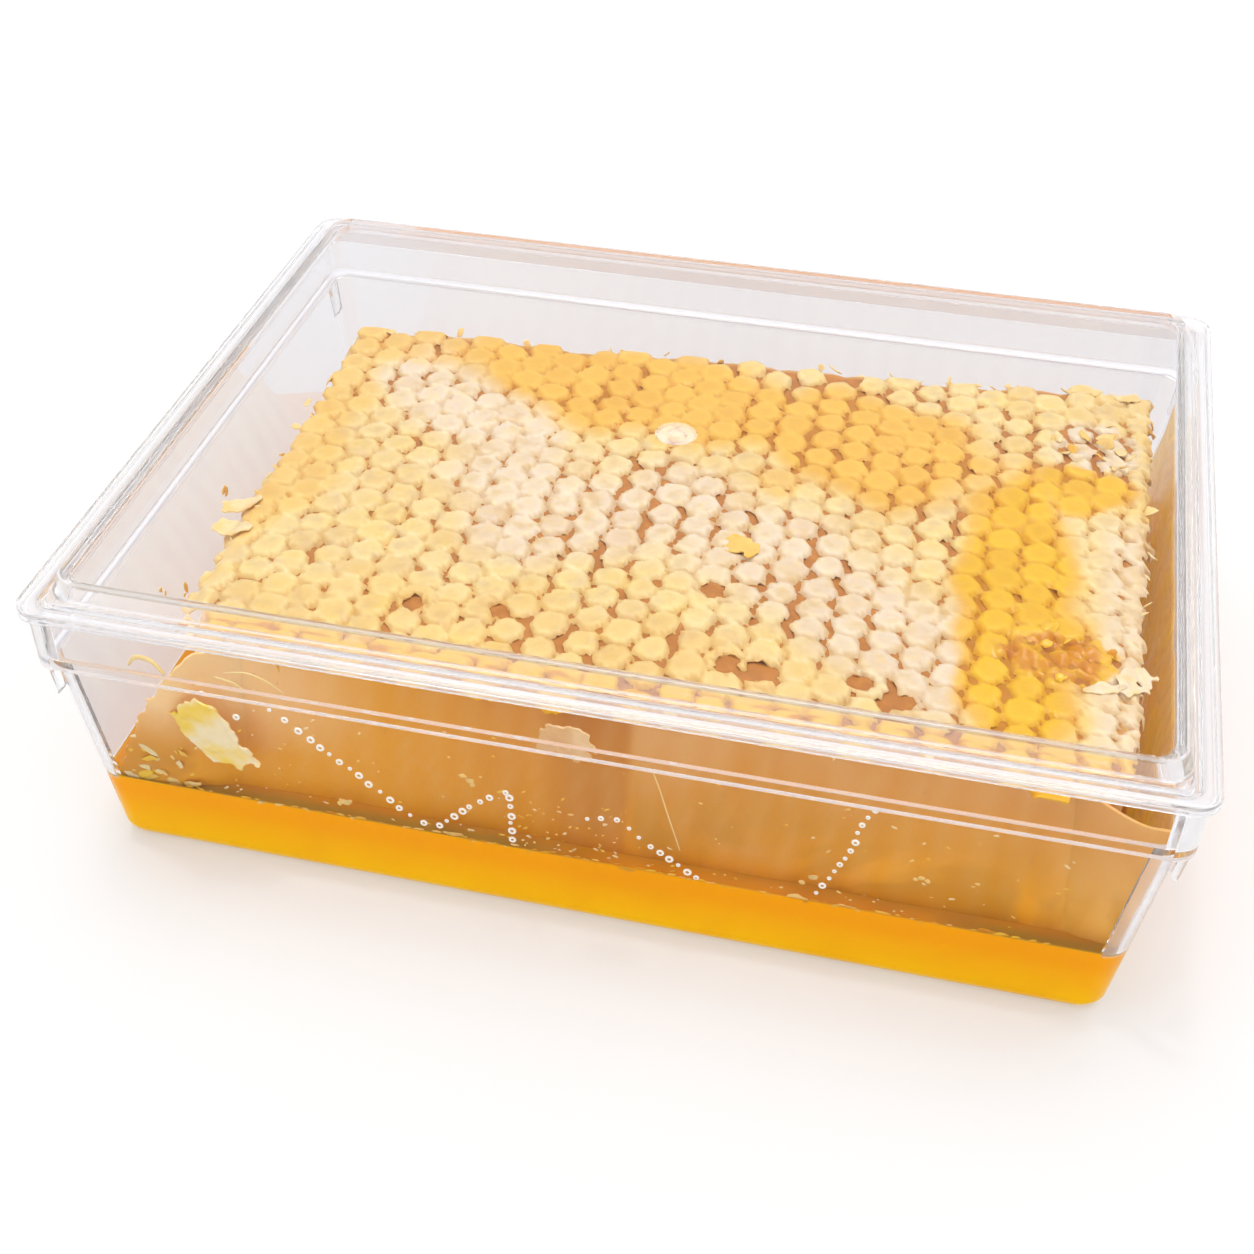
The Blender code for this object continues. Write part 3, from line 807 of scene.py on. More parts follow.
def make_cappings(look):
    """The capped face: one sheet of fused wax discs, with gaps where the discs don't meet."""
    read = capping_reader()

    def inside(x, y):
        return read(x, y)[0]

    def place(x, y):
        union, _, top = read(x, y)
        z = cap_height(x, y) + 0.18 * (top - 0.5) - 0.45 * max(0.0, 1 - union / 0.7) ** 2
        z += 0.12 * noise.noise(Vector((x, y, 2.0)) * 0.6)
        z -= 1.2 * smooth_step(0.5, -2.2, slab_margin(x, y))
        folds = noise.noise(Vector((x, y, 40.0)) * 0.45) + 0.5 * noise.noise(Vector((x, y, 41.0)) * 1.1)
        z += patch_share(CRUSHED_PATCH, x, y) * (1.0 * folds - 0.15)
        z += patch_share(WET_CORNER, x, y) * (0.8 * folds - 0.05)
        return x, y, z

    def tones(x, y):
        union, own, top = read(x, y)
        crushed = patch_share(CRUSHED_PATCH, x, y)
        glinting = patch_share(WET_CORNER, x, y)
        wave = noise.noise(Vector((x, y, 44.0)) * 0.5)
        soaked = smooth_step(-43.0, -45.0, y) * (1.8 + 2.0 * noise.noise(Vector((x * 0.25, y, 45.0))))
        return {
            # The wet corner loses its honey tone and takes the pale blush-and-glint tone: a painted
            # highlight for the glints of wet wax
            "honeyed": max(honeyed_at(x, y) * (1 - 0.8 * glinting), crushed * (2.5 + wave), soaked),
            "blush_and_glint": max(blush_at(x, y) * (1 - crushed), glinting),
            "rim": smooth_step(0.8, 0.1, own) * smooth_step(0.2, 0.7, union) * (0.4 + 0.6 * top),
            "shade": min(1.0, 0.4 * ((top * 7.3) % 1.0) ** 2 + 0.3 * smooth_step(0.5, 1.8, own)
                         + 0.8 * smooth_step(0.6, 0.1, union)),
        }

    bm = start_wax()
    cut_sheet(bm, ((-65.5, 70.5), (-52.0, 47.0)), SHEET_STEP, inside, place, 0.25, tones)
    for face in bm.faces:
        spot = face.calc_center_median() / MM
        wet = max(patch_share(CRUSHED_PATCH, spot.x, spot.y), patch_share(WET_CORNER, spot.x, spot.y))
        face.material_index = 1 if wet > 0.3 else 0
    return keep_piece("cappings", bm, [capping_wax(look), capping_wax(look, "wet_cappings", True)])


def crown_edge(spacing):
    """Spots along the slab's top edge, each with the outward direction there."""
    corners = slab_corners(CAP_LEVEL)
    for side, (start, end) in enumerate(zip(corners, corners[1:] + corners[:1])):
        along = (end - start).normalized()
        outward = Vector((along.y, -along.x))
        count = int((end - start).length / spacing)
        for i in range(count):
            yield side, start.lerp(end, (i + 0.5) / count), outward


def torn_shape(half_x, half_y, seed, tear=1.0):
    """A function that is above 0 inside a torn, holed shape round the middle of a sheet."""
    def inside(u, v):
        depth = (1 - math.hypot(u / half_x, v / half_y)) * min(half_x, half_y)
        depth += tear * (0.9 * noise.noise(Vector((u * 0.35, v * 0.35, seed)))
                         + 0.7 * noise.noise(Vector((u * 0.9, v * 0.9, seed + 7))))
        hole = 0.75 + 1.6 * noise.noise(Vector((u * 0.8, v * 0.8, seed + 3)))
        return min(depth, hole)
    return inside


def add_loose_sheet(bm, spot, size, degrees, honeyed, blush_and_glint):
    """One torn bit of capping lying on the slab."""
    x, y = spot
    turn = Matrix.Rotation(math.radians(degrees), 2)
    seed = x * 1.7 + y * 0.3

    def place(u, v):
        across, along = turn @ Vector((u, v))
        lift = 0.22 + 0.5 * noise.noise(Vector((u * 0.45, v * 0.45, seed)))
        lift += 0.25 * noise.noise(Vector((u * 1.5, v * 1.5, seed)))
        px, py = min(x + across, 71.0), y + along
        return px, py, cap_height(px, py) + lift - 0.8 * smooth_step(0.5, -2.2, slab_margin(px, py))

    def tones(u, v):
        wave = noise.noise(Vector((u * 0.6, v * 0.6, seed + 5)))
        return {"honeyed": honeyed + 0.5 * max(wave, 0.0), "blush_and_glint": blush_and_glint, "rim": 0.4}

    cut_sheet(bm, ((-size[0] * 1.5, size[0] * 1.5), (-size[1] * 1.5, size[1] * 1.5)), 0.4,
              torn_shape(*size, seed), place, 0.22, tones)


def make_torn_wax(look):
    """Torn wax: the fringe along the slab's edges, loose bits, wet scraps and the torn left end."""
    bm = start_wax()
    template = scrap_template(11)
    for side, spot, outward in crown_edge(2.3):
        chance = seeded(spot.x, spot.y, 4)
        if chance.random() < (0.75, 0.6, 0.45, 0.3)[side]:
            continue
        place = spot + outward * chance.uniform(-1.0, 1.6)
        reach = chance.uniform(0.5, 1.2)
        add_scrap(bm, template, (place.x, place.y, cap_height(*place) - chance.uniform(0.2, 1.2)),
                  (reach, reach * chance.uniform(0.4, 0.9), 0.16), tumbled(chance, 0.9), chance,
                  ragged=0.5, crumple=0.5,
                  tones=(("honeyed", honeyed_at(*place) * 0.6), ("shade", chance.random() * 0.3)))
    for sheet in LOOSE_SHEETS:
        add_loose_sheet(bm, *sheet)
    keep_piece("torn_wax", bm, [capping_wax(look)])

    bm = start_wax()
    for patch, tone, count in ((CRUSHED_PATCH, 2.4, 14), (WET_CORNER, 0.7, 26)):
        (middle_x, middle_y), (half_x, half_y) = patch
        chance = seeded(middle_x, middle_y)
        for _ in range(count):
            x = middle_x + chance.uniform(-1.05, 1.05) * half_x
            y = middle_y + chance.uniform(-1.05, 1.05) * half_y
            if not inside_slab(x, y, 0.6) or patch_share(patch, x, y) < 0.2:
                continue
            reach = chance.uniform(0.4, 1.5)
            add_scrap(bm, template, (x, y, cap_height(x, y) + chance.uniform(-0.5, 0.4)),
                      (reach, reach * chance.uniform(0.4, 0.9), 0.14), tumbled(chance, 0.7),
                      chance, ragged=0.45, crumple=0.7,
                      tones=(("honeyed", tone + chance.uniform(-0.7, 0.4)),
                             # Some scraps take the pale rim tone all over: painted highlights for the glints
                             # of wet wax
                             ("rim", float(chance.random() < 0.4)),
                             ("shade", chance.random() * 0.3)))
    bpy.data.meshes.remove(template)
    keep_piece("wet_wax", bm, [capping_wax(look, "wet_wax", wet=True)])
    return make_torn_ends(look)


def along_run(run, height):
    """X on a run of X and Z points at a height."""
    for (x0, z0), (x1, z1) in zip(run, run[1:]):
        if height <= z1:
            return x0 + (x1 - x0) * max(height - z0, 0.0) / (z1 - z0)
    return run[-1][0]


def make_torn_ends(look):
    """Skins of wax and honey from the slab's two front corners to the walls, the left one torn."""
    def slab_front(z):
        return SLAB_FOOT[0][1] + (SLAB_CROWN[0][1] - SLAB_FOOT[0][1]) * lean(z) + 1.3

    def torn(x, z):
        grain = 1.1 * noise.noise(Vector((x, z, 50.0)) * 0.35)
        grain += 0.7 * noise.noise(Vector((x, z, 51.0)) * 0.9)
        return min(x - along_run(TORN_EDGE, z) + 1.6 * grain, 35.6 + grain - z, z - 11.4)

    def place_left(x, z):
        near_wall = inner_front(z) + 0.8 + 0.4 * noise.noise(Vector((x, z, 53.0)) * 0.3)
        return x, near_wall + (slab_front(z) - near_wall) * smooth_step(-60.0, -47.0, x), z

    def whole(x, z):
        return min(LENGTH / 2 - wall_inset(z) - WALL - 0.4 - x, 35.4 - z, z - 11.4)

    def place_right(x, z):
        near_wall = inner_front(z) + 2.0 + 0.5 * noise.noise(Vector((x, z, 55.0)) * 0.3)
        return x, near_wall + (slab_front(z) + 0.8 - near_wall) * smooth_step(70.0, 57.0, x), z

    bm = start_wax()
    cut_sheet(bm, ((-71.0, -48.5), (11.0, 37.0)), 0.5, torn, place_left, 0.4)
    cut_sheet(bm, ((56.0, 73.0), (11.0, 36.0)), 0.5, whole, place_right, 0.4)
    return keep_piece("torn_ends", bm, [cell_wax(look, "torn_ends")])


def add_strand(bm, points, radius):
    """A hair of wax through a few points."""
    points = [Vector(point) for point in points]
    spots = []
    for i, (start, end) in enumerate(zip(points, points[1:])):
        before = points[i - 1] if i else start
        after = points[i + 2] if i + 2 < len(points) else end
        for step in range(5):
            t = step / 5
            spots.append(0.5 * ((2 * start) + (end - before) * t
                                + (2 * before - 5 * start + 4 * end - after) * t ** 2
                                + (3 * start - before - 3 * end + after) * t ** 3))
    spots.append(points[-1])
    rings = []
    for i, spot in enumerate(spots):
        along = (spots[min(i + 1, len(spots) - 1)] - spots[max(i - 1, 0)]).normalized()
        turn = along.to_track_quat("Z", "Y").to_matrix()
        slim = radius * (0.5 + 0.5 * math.sin(math.pi * (i + 0.5) / len(spots)))
        rings.append([spot + turn @ Vector((slim * math.cos(math.tau * k / 6),
                                            slim * math.sin(math.tau * k / 6), 0)) for k in range(6)])
    sweep(bm, rings)


def make_wall_crumbs(look):
    """Crumbs and hairs of wax on the walls, and the scum along the honey's level."""
    bm = start_wax()
    for half_thickness, *run in WAX_HAIRS:
        add_strand(bm, [(x, inner_front(z) + gap, z) for x, z, gap in run], half_thickness)
    template = scrap_template(8)
    chance = seeded(12, 2)
    x = -61.0
    while x < 61.0:
        x += chance.uniform(0.3, 2.1)
        z = HONEY_LEVEL + chance.uniform(-0.45, 0.35)
        reach = chance.uniform(0.15, 0.55) * (1.7 if chance.random() < 0.15 else 1.0)
        add_scrap(bm, template, (x, inner_front(z) - 0.17, z), (reach * 1.6, reach * 0.6, 0.06),
                  Matrix.Rotation(math.pi / 2 + 0.1, 3, "X"), chance, ragged=0.5, crumple=0.2,
                  tones=(("honeyed", chance.choice((0.5, 0.9, 1.4, 2.6))), ("shade", chance.random())))
    for number in range(170):
        x, z = chance.uniform(-60.0, 63.0), 12.5 + 21.0 * chance.random() ** 1.7
        if number % 3 == 0:
            x, z = chance.uniform(-12.0, 6.0), 12.5 + 11.0 * chance.random() ** 1.5
        reach = chance.uniform(0.06, 0.2)
        add_scrap(bm, template, (x, inner_front(z) + chance.uniform(0.1, 0.8), z),
                  (reach * chance.uniform(1.0, 3.0), reach, 0.06),
                  Matrix.Rotation(math.pi / 2, 3, "X") @ Matrix.Rotation(chance.uniform(-0.6, 0.9), 3, "Z"),
                  chance, ragged=0.5, tones=(("honeyed", chance.choice((0.0, 0.6, 1.2))),))
    for _ in range(40):
        x, z = -66.5 + 10.0 * chance.random() ** 1.3, 12.0 + 7.5 * chance.random() ** 1.8
        reach = chance.uniform(0.3, 1.3)
        place = (max(x, along_run(TORN_EDGE, z) + 0.8), inner_front(z) + chance.uniform(0.2, 0.6), z)
        add_scrap(bm, template, place, (reach * chance.uniform(0.8, 1.8), reach * 0.6, 0.1),
                  Matrix.Rotation(math.pi / 2, 3, "X") @ Matrix.Rotation(chance.uniform(-1.2, 0.6), 3, "Z"),
                  chance, ragged=0.7, crumple=0.3,
                  tones=(("honeyed", chance.choice((0.0, 0.6, 1.1, 1.5))),))
    for side, along, z, reach in WALL_CRUMBS:
        for _ in range(4):
            spot = along + chance.uniform(-1.0, 1.0)
            level = z + chance.uniform(-0.8, 0.8)
            if side == "front":
                place, turn = (spot, inner_front(level) + 0.15, level), Matrix.Rotation(math.pi / 2, 3, "X")
            else:
                inner_left = -(LENGTH / 2 - wall_inset(level) - WALL)
                place, turn = (inner_left + 0.15, spot, level), Matrix.Rotation(math.pi / 2, 3, "Y")
            add_scrap(bm, template, place, (reach * chance.uniform(0.5, 1.3), reach * 0.7, 0.15), turn,
                      chance, ragged=0.5, crumple=0.3, tones=(("honeyed", 0.5),))
    bpy.data.meshes.remove(template)
    return keep_piece("wall_crumbs", bm, [capping_wax(look)])


def make_bubbles(look):
    """Chains of tiny bubbles of air caught on the front wall, each drawn as a pale ring that paints the
    highlight on its rim.
    """
    bm = bmesh.new()
    chance = seeded(3, 9)
    for chain in BUBBLE_CHAINS:
        spots = [Vector(point) for point in chain]
        path = spots[:1]
        for start, end in zip(spots, spots[1:]):
            count = max(1, round((end - start).length / 1.75))
            path += [start.lerp(end, (i + 1) / count) for i in range(count)]
        for spot in path:
            x = spot.x + chance.uniform(-0.15, 0.15)
            z = spot.y + chance.uniform(-0.15, 0.15)
            ring = chance.choice((0.2, 0.3, 0.38, 0.44))
            add_bubble(bm, Vector((x, inner_front(z) + 0.1, z)), ring, chance)
    return keep_piece("bubbles", bm, [bubble_white(look)])


def add_bubble(bm, middle, radius, chance):
    """One bubble's bright rim, a painted highlight: a small pale ring lying on the wall."""
    tube = 0.09 + radius * 0.24
    rings = []
    for i in range(9):
        angle = math.tau * i / 9
        out = Vector((math.cos(angle), 0, math.sin(angle)))
        rings.append([middle + out * (radius + tube * math.cos(math.tau * k / 5))
                      + Vector((0, tube * math.sin(math.tau * k / 5), 0)) for k in range(5)])
    before = len(bm.verts)
    first = bmesh.ops.create_circle(bm, segments=5, radius=1.0)["verts"]
    for vert, point in zip(first, rings[0]):
        vert.co = point * MM
    edges = list({edge for vert in first for edge in vert.link_edges})
    bmesh.ops.spin(bm, geom=first + edges, cent=middle * MM, axis=(0, 1, 0), dvec=(0, 0, 0),
                   angle=-math.tau, steps=9, use_merge=True)


def smear_honey(look):
    """A thin film of honey and wax, smeared up the right wall's inner face."""
    material, tree, shader = start_material("honey_film")
    parts = place_parts(tree)
    thin = maths(tree, "ADD", ranged(tree, parts["Z"], 0.018, 0.036), ranged(tree, parts["Y"], 0.010, 0.045))
    thin = maths(tree, "ADD", thin, ranged(tree, mottle(tree, 60.0, 3.0, 0.5, 1.0), 0.3, 0.7, -0.3, 0.3))
    colour = blend(tree, ranged(tree, thin, 0.0, 1.6), look.film_low, look.film_high)
    tree.links.new(colour, shader.inputs["Base Color"])
    patches = mottle(tree, 90.0, 4.0, 0.6, 1.5)
    tree.links.new(ranged(tree, patches, 0.35, 0.65, 0.5, 0.9), shader.inputs["Alpha"])
    shader.inputs["Roughness"].default_value = 0.3
    shader.inputs["Specular IOR Level"].default_value = 0.2
    shader.inputs["Subsurface Weight"].default_value = 0.7
    shader.inputs["Subsurface Radius"].default_value = (1.0, 0.6, 0.2)
    shader.inputs["Subsurface Scale"].default_value = 0.002
    bm = bmesh.new()
    bmesh.ops.create_grid(bm, x_segments=40, y_segments=14, size=0.5)
    for vert in bm.verts:
        along, up = vert.co.x + 0.5, vert.co.y + 0.5
        back = 49.0 + 2.0 * noise.noise(Vector((up * 3.0, 0.0, 4.0)))
        y = -51.5 + along * (back + 51.5)
        top = 33.0 + 0.8 * noise.noise(Vector((y * 0.12, 0.0, 8.0)))
        z = HONEY_LEVEL - 0.5 + up * (top - HONEY_LEVEL + 0.5)
        x = LENGTH / 2 - wall_inset(z) - WALL
        vert.co = Vector((x - 0.05, y, z)) * MM
    bmesh.ops.recalc_face_normals(bm, faces=bm.faces)
    bmesh.ops.solidify(bm, geom=bm.faces[:], thickness=0.12 * MM)
    bmesh.ops.recalc_face_normals(bm, faces=bm.faces)
    return keep_piece("honey_film", bm, [material])


def make_flake(look):
    """A torn, folded flake of wax on the front wall, slanting down to the right."""
    def inside(x, z):
        spot = Vector((x, z))
        depths = []
        for start, end in zip(FLAKE_OUTLINE, FLAKE_OUTLINE[1:] + FLAKE_OUTLINE[:1]):
            side = (Vector(end) - Vector(start)).normalized()
            depths.append((spot - Vector(start)).dot(Vector((side.y, -side.x))))
        tear = noise.noise(Vector((x, z, 60.0)) * 0.5) + 0.8 * noise.noise(Vector((x, z, 61.0)) * 1.2)
        return min(depths) + 0.2 + 0.9 * tear

    def place(x, z):
        bend = 0.5 * noise.noise(Vector((x, z, 62.0)) * 0.35)
        bend += 0.3 * noise.noise(Vector((x, z, 63.0)) * 0.9)
        return x, inner_front(z) + 0.75 + bend, z

    bm = start_wax()
    cut_sheet(bm, ((-61.0, -43.5), (15.5, 34.5)), 0.35, inside, place, 0.3)
    return keep_piece("wax_flake_sheet", bm, [loose_wax("loose_wax", look.loose_pale, look.loose_yellow)],
                      replaces=("wax_flake",))


def make_fold(look):
    """A torn fold of wax high on the front wall, of the same tan as the cells behind it."""
    def inside(x, z):
        spot = Vector((x + 2.7, (z - 33.6) * 1.25))
        tear = noise.noise(Vector((x, z, 70.0)) * 0.4) + 0.7 * noise.noise(Vector((x, z, 71.0)))
        hole = 0.8 + 1.5 * noise.noise(Vector((x, z, 72.0)) * 0.7)
        return min(3.6 + 1.5 * tear - spot.length, hole)

    def place(x, z):
        bend = 0.5 * noise.noise(Vector((x, z, 73.0)) * 0.4) + 0.2 * noise.noise(Vector((x, z, 74.0)))
        return x, inner_front(z) + 1.0 + bend, z

    bm = start_wax()
    cut_sheet(bm, ((-8.5, 3.0), (28.5, 38.5)), 0.35, inside, place, 0.3)
    return keep_piece("wax_fold_sheet", bm, [loose_wax("folded_wax", look.fold_tan, look.fold_pale)],
                      replaces=("wax_fold",))


# ---- operators --------------------------------------------------------------------------
class HoneycombLook(bpy.types.PropertyGroup):
    """Colours and sizes that a user may change before building."""

    def tone(name, description, default):
        return FloatVectorProperty(name=name, description=description, default=default,
                                   subtype="COLOR", size=3, min=0.0, max=1.0)

    edge_fillet: FloatProperty(name="Edge fillet", description="Rounding of the box's edges",
                               default=0.35 * MM, unit="LENGTH", subtype="DISTANCE")
    tray_tint: tone("Tray", "Tint of the tray's clear plastic", (0.900, 0.902, 0.925))
    lid_tint: tone("Lid", "Tint of the lid's clear plastic", (0.945, 0.945, 0.958))
    # Edge plastic: less clear and rougher than the rest, so the fillets read as white lines, painted
    # highlights along the edges
    edge_tint: tone("Edges", "Tint of the plastic's milky edges", (0.90, 0.893, 0.912))
    edge_shade: tone("Shaded edge", "Under the lid panel's front edge", (0.50, 0.46, 0.38))
    wax_pale: tone("Pale wax", "Dry, pale cappings", (0.85, 0.67, 0.50))
    wax_cream: tone("Cream wax", "Most cappings", (0.88, 0.64, 0.28))
    wax_yellow: tone("Yellow wax", "Yellow patches in the cappings", (0.89, 0.61, 0.13))
    wax_gold: tone("Golden wax", "Cappings that honey wets", (0.88, 0.49, 0.07))
    wax_soaked: tone("Soaked wax", "Cappings full of honey", (0.88, 0.49, 0.01))
    wax_amber: tone("Amber wax", "Crushed cells", (0.70, 0.27, 0.0))
    # Capping hollows: partly thin wax, partly painted shade of small hollows
    wax_hollow: tone("Capping hollows", "Thin, greyer wax in a capping", (0.76, 0.54, 0.28))
    wax_rim: tone("Capping rim", "Thin edge of a capping", (0.95, 0.76, 0.46))
    comb_high: tone("Cells, upper", "Slab's side near its top", (0.71, 0.29, 0.05))
    comb_low: tone("Cells, lower", "Slab's side near the honey", (0.74, 0.30, 0.012))
    comb_haze: tone("Cells, haze", "Pale haze on the slab's sides", (0.74, 0.40, 0.16))
    comb_left: tone("Cells, left", "Slab's side near its left end", (0.86, 0.38, 0.02))
    comb_right: tone("Cells, right", "Slab's side, low at its right end", (0.88, 0.37, 0.01))
    comb_cloud: tone("Cells, cloud", "Pale cloud at the upper left", (0.97, 0.62, 0.30))
    comb_rosy: tone("Cells, rosy", "Hazy cells at the upper right", (0.80, 0.43, 0.17))
    comb_end: tone("Cells, right end", "Haze at the slab's right end", (0.84, 0.50, 0.18))
    comb_pool: tone("Cells, pools", "Dark honey low in the cells", (0.56, 0.24, 0.012))
    comb_seam: tone("Cells, seam", "Darker cells at the seam", (0.50, 0.17, 0.03))
    comb_spot: tone("Cells, spots", "Brown specks in the cells", (0.40, 0.15, 0.03))
    gap_dry: tone("Gaps, dry", "Between pale cappings", (0.46, 0.17, 0.03))
    gap_wet: tone("Gaps, wet", "Between golden cappings", (0.50, 0.19, 0.0))
    honey_body: tone("Honey", "Honey's middle", (0.94, 0.36, 0.0))
    honey_foot: tone("Honey, foot", "Honey near the base", (1.0, 0.56, 0.0))
    honey_deep: tone("Honey, deep", "Slow darker waves in the honey", (0.84, 0.33, 0.0))
    honey_surface: tone("Honey, surface", "The honey's level face", (0.66, 0.28, 0.03))
    honey_shaded: tone("Honey, shaded", "The level face beside the front wall", (0.40, 0.235, 0.03))
    film_low: tone("Honey film", "Honey smeared low on the right wall", (0.88, 0.31, 0.06))
    film_high: tone("Honey film, thin", "Honey smeared high on the right wall", (0.92, 0.49, 0.24))
    loose_pale: tone("Loose wax", "Torn bits of wax", (0.95, 0.77, 0.46))
    loose_yellow: tone("Loose wax, yellow", "Folded bits of wax", (0.95, 0.64, 0.07))
    fold_tan: tone("Fold", "The fold of wax on the wall", (0.74, 0.43, 0.18))
    fold_pale: tone("Fold, pale", "Thin parts of the fold", (0.88, 0.62, 0.34))
    # Bubble rims: a painted highlight, the light on each bubble's edge given as a pale colour
    bubble_rim: tone("Bubble rim", "Rims of the bubbles", (0.98, 0.92, 0.78))


class HONEYCOMB_OT_tray(bpy.types.Operator):
    """Build the drafted tray with its shoulder, collar and stacking fins"""

    bl_idname = "honeycomb.tray"
    bl_label = "Tray"

    def execute(self, context):
        look = context.scene.honeycomb_look
        under = SHOULDER_TOP - WALL
        middle = 30.0
        profile = [
            (middle, 0.0, WALL_RADIUS),
            (wall_inset(0) + BASE_FILLET, 0.0, WALL_RADIUS),
            (wall_inset(0.5) + 0.5, 0.5, WALL_RADIUS),
            (wall_inset(BASE_FILLET), BASE_FILLET, WALL_RADIUS),
            (wall_inset(HONEY_LEVEL), HONEY_LEVEL, WALL_RADIUS),
            (wall_inset(under), under, WALL_RADIUS),
            (COLLAR_INSET + 0.1, under, COLLAR_RADIUS),
            (COLLAR_INSET, COLLAR_TOP, COLLAR_RADIUS),
            (COLLAR_INSET + WALL, COLLAR_TOP, COLLAR_RADIUS),
            (COLLAR_INSET + WALL + 0.1, SHOULDER_TOP, COLLAR_RADIUS),
            (WALL_INSET_TOP + WALL, SHOULDER_TOP - 0.1, WALL_RADIUS - WALL),
            (wall_inset(HONEY_LEVEL) + WALL, HONEY_LEVEL, WALL_RADIUS - WALL),
            (wall_inset(BASE_FILLET) + WALL, BASE_FILLET + 0.1, WALL_RADIUS - WALL),
            (wall_inset(WALL) + WALL + 0.7, WALL, WALL_RADIUS - WALL),
            (middle, WALL, WALL_RADIUS - WALL),
        ]
        bm = box_body(profile, look.edge_fillet / MM)
        for side_x in (-1, 1):
            for side_y in (-1, 1):
                add_fin(bm, side_x, side_y)
        bmesh.ops.recalc_face_normals(bm, faces=bm.faces)
        bm.normal_update()
        for face in bm.faces:
            spot = face.calc_center_median()
            on_front = abs(face.normal.y) > 0.95 and spot.y < 0 and face.calc_area() > 20 * MM * MM
            # Faces on the upper fillets and the shoulder take the whiter edge plastic: painted highlights
            # along the edges
            on_edge = abs(face.normal.z) > 0.2 and spot.z > 0.5 * HEIGHT * MM
            by_honey = spot.z < HONEY_LEVEL * MM
            face.material_index = 1 if on_front or by_honey else 2 if on_edge else 0
        keep_piece("tray_shell", bm, [clear_plastic("tray_polystyrene", look.tray_tint),
                                      clear_plastic("tray_front_pane", look.tray_tint, PANE_IOR, 1.0),
                                      clear_plastic("tray_edge_highlights", look.edge_tint, 1.57, 0.6, 0.07)],
                   replaces=("tray",))
        return {"FINISHED"}


def add_fin(bm, side_x, side_y):
    """A thin stacking plate under the shoulder's end."""
    top = SHOULDER_TOP - WALL - 0.02
    made = bmesh.ops.create_cube(bm, size=1.0)["verts"]
    for vert in made:
        low, out = vert.co.z < 0, vert.co.x > 0
        z = top - (FIN_DROP if low else 0.0) + (1.2 if low and not out else 0.0)
        reach = LENGTH / 2 - FIN_REACH - (0.9 if low else 0.0) if out else \
            LENGTH / 2 - wall_inset(z) - 0.03
        y = side_y * (WIDTH / 2 - FIN_SETBACK) + vert.co.y * FIN_WALL
        vert.co = Vector((side_x * reach, y, z)) * MM
    edges = list({edge for vert in made for edge in vert.link_edges})
    bmesh.ops.bevel(bm, geom=edges, offset=0.25 * MM, segments=2, profile=0.5, affect="EDGES",
                    material=-1)


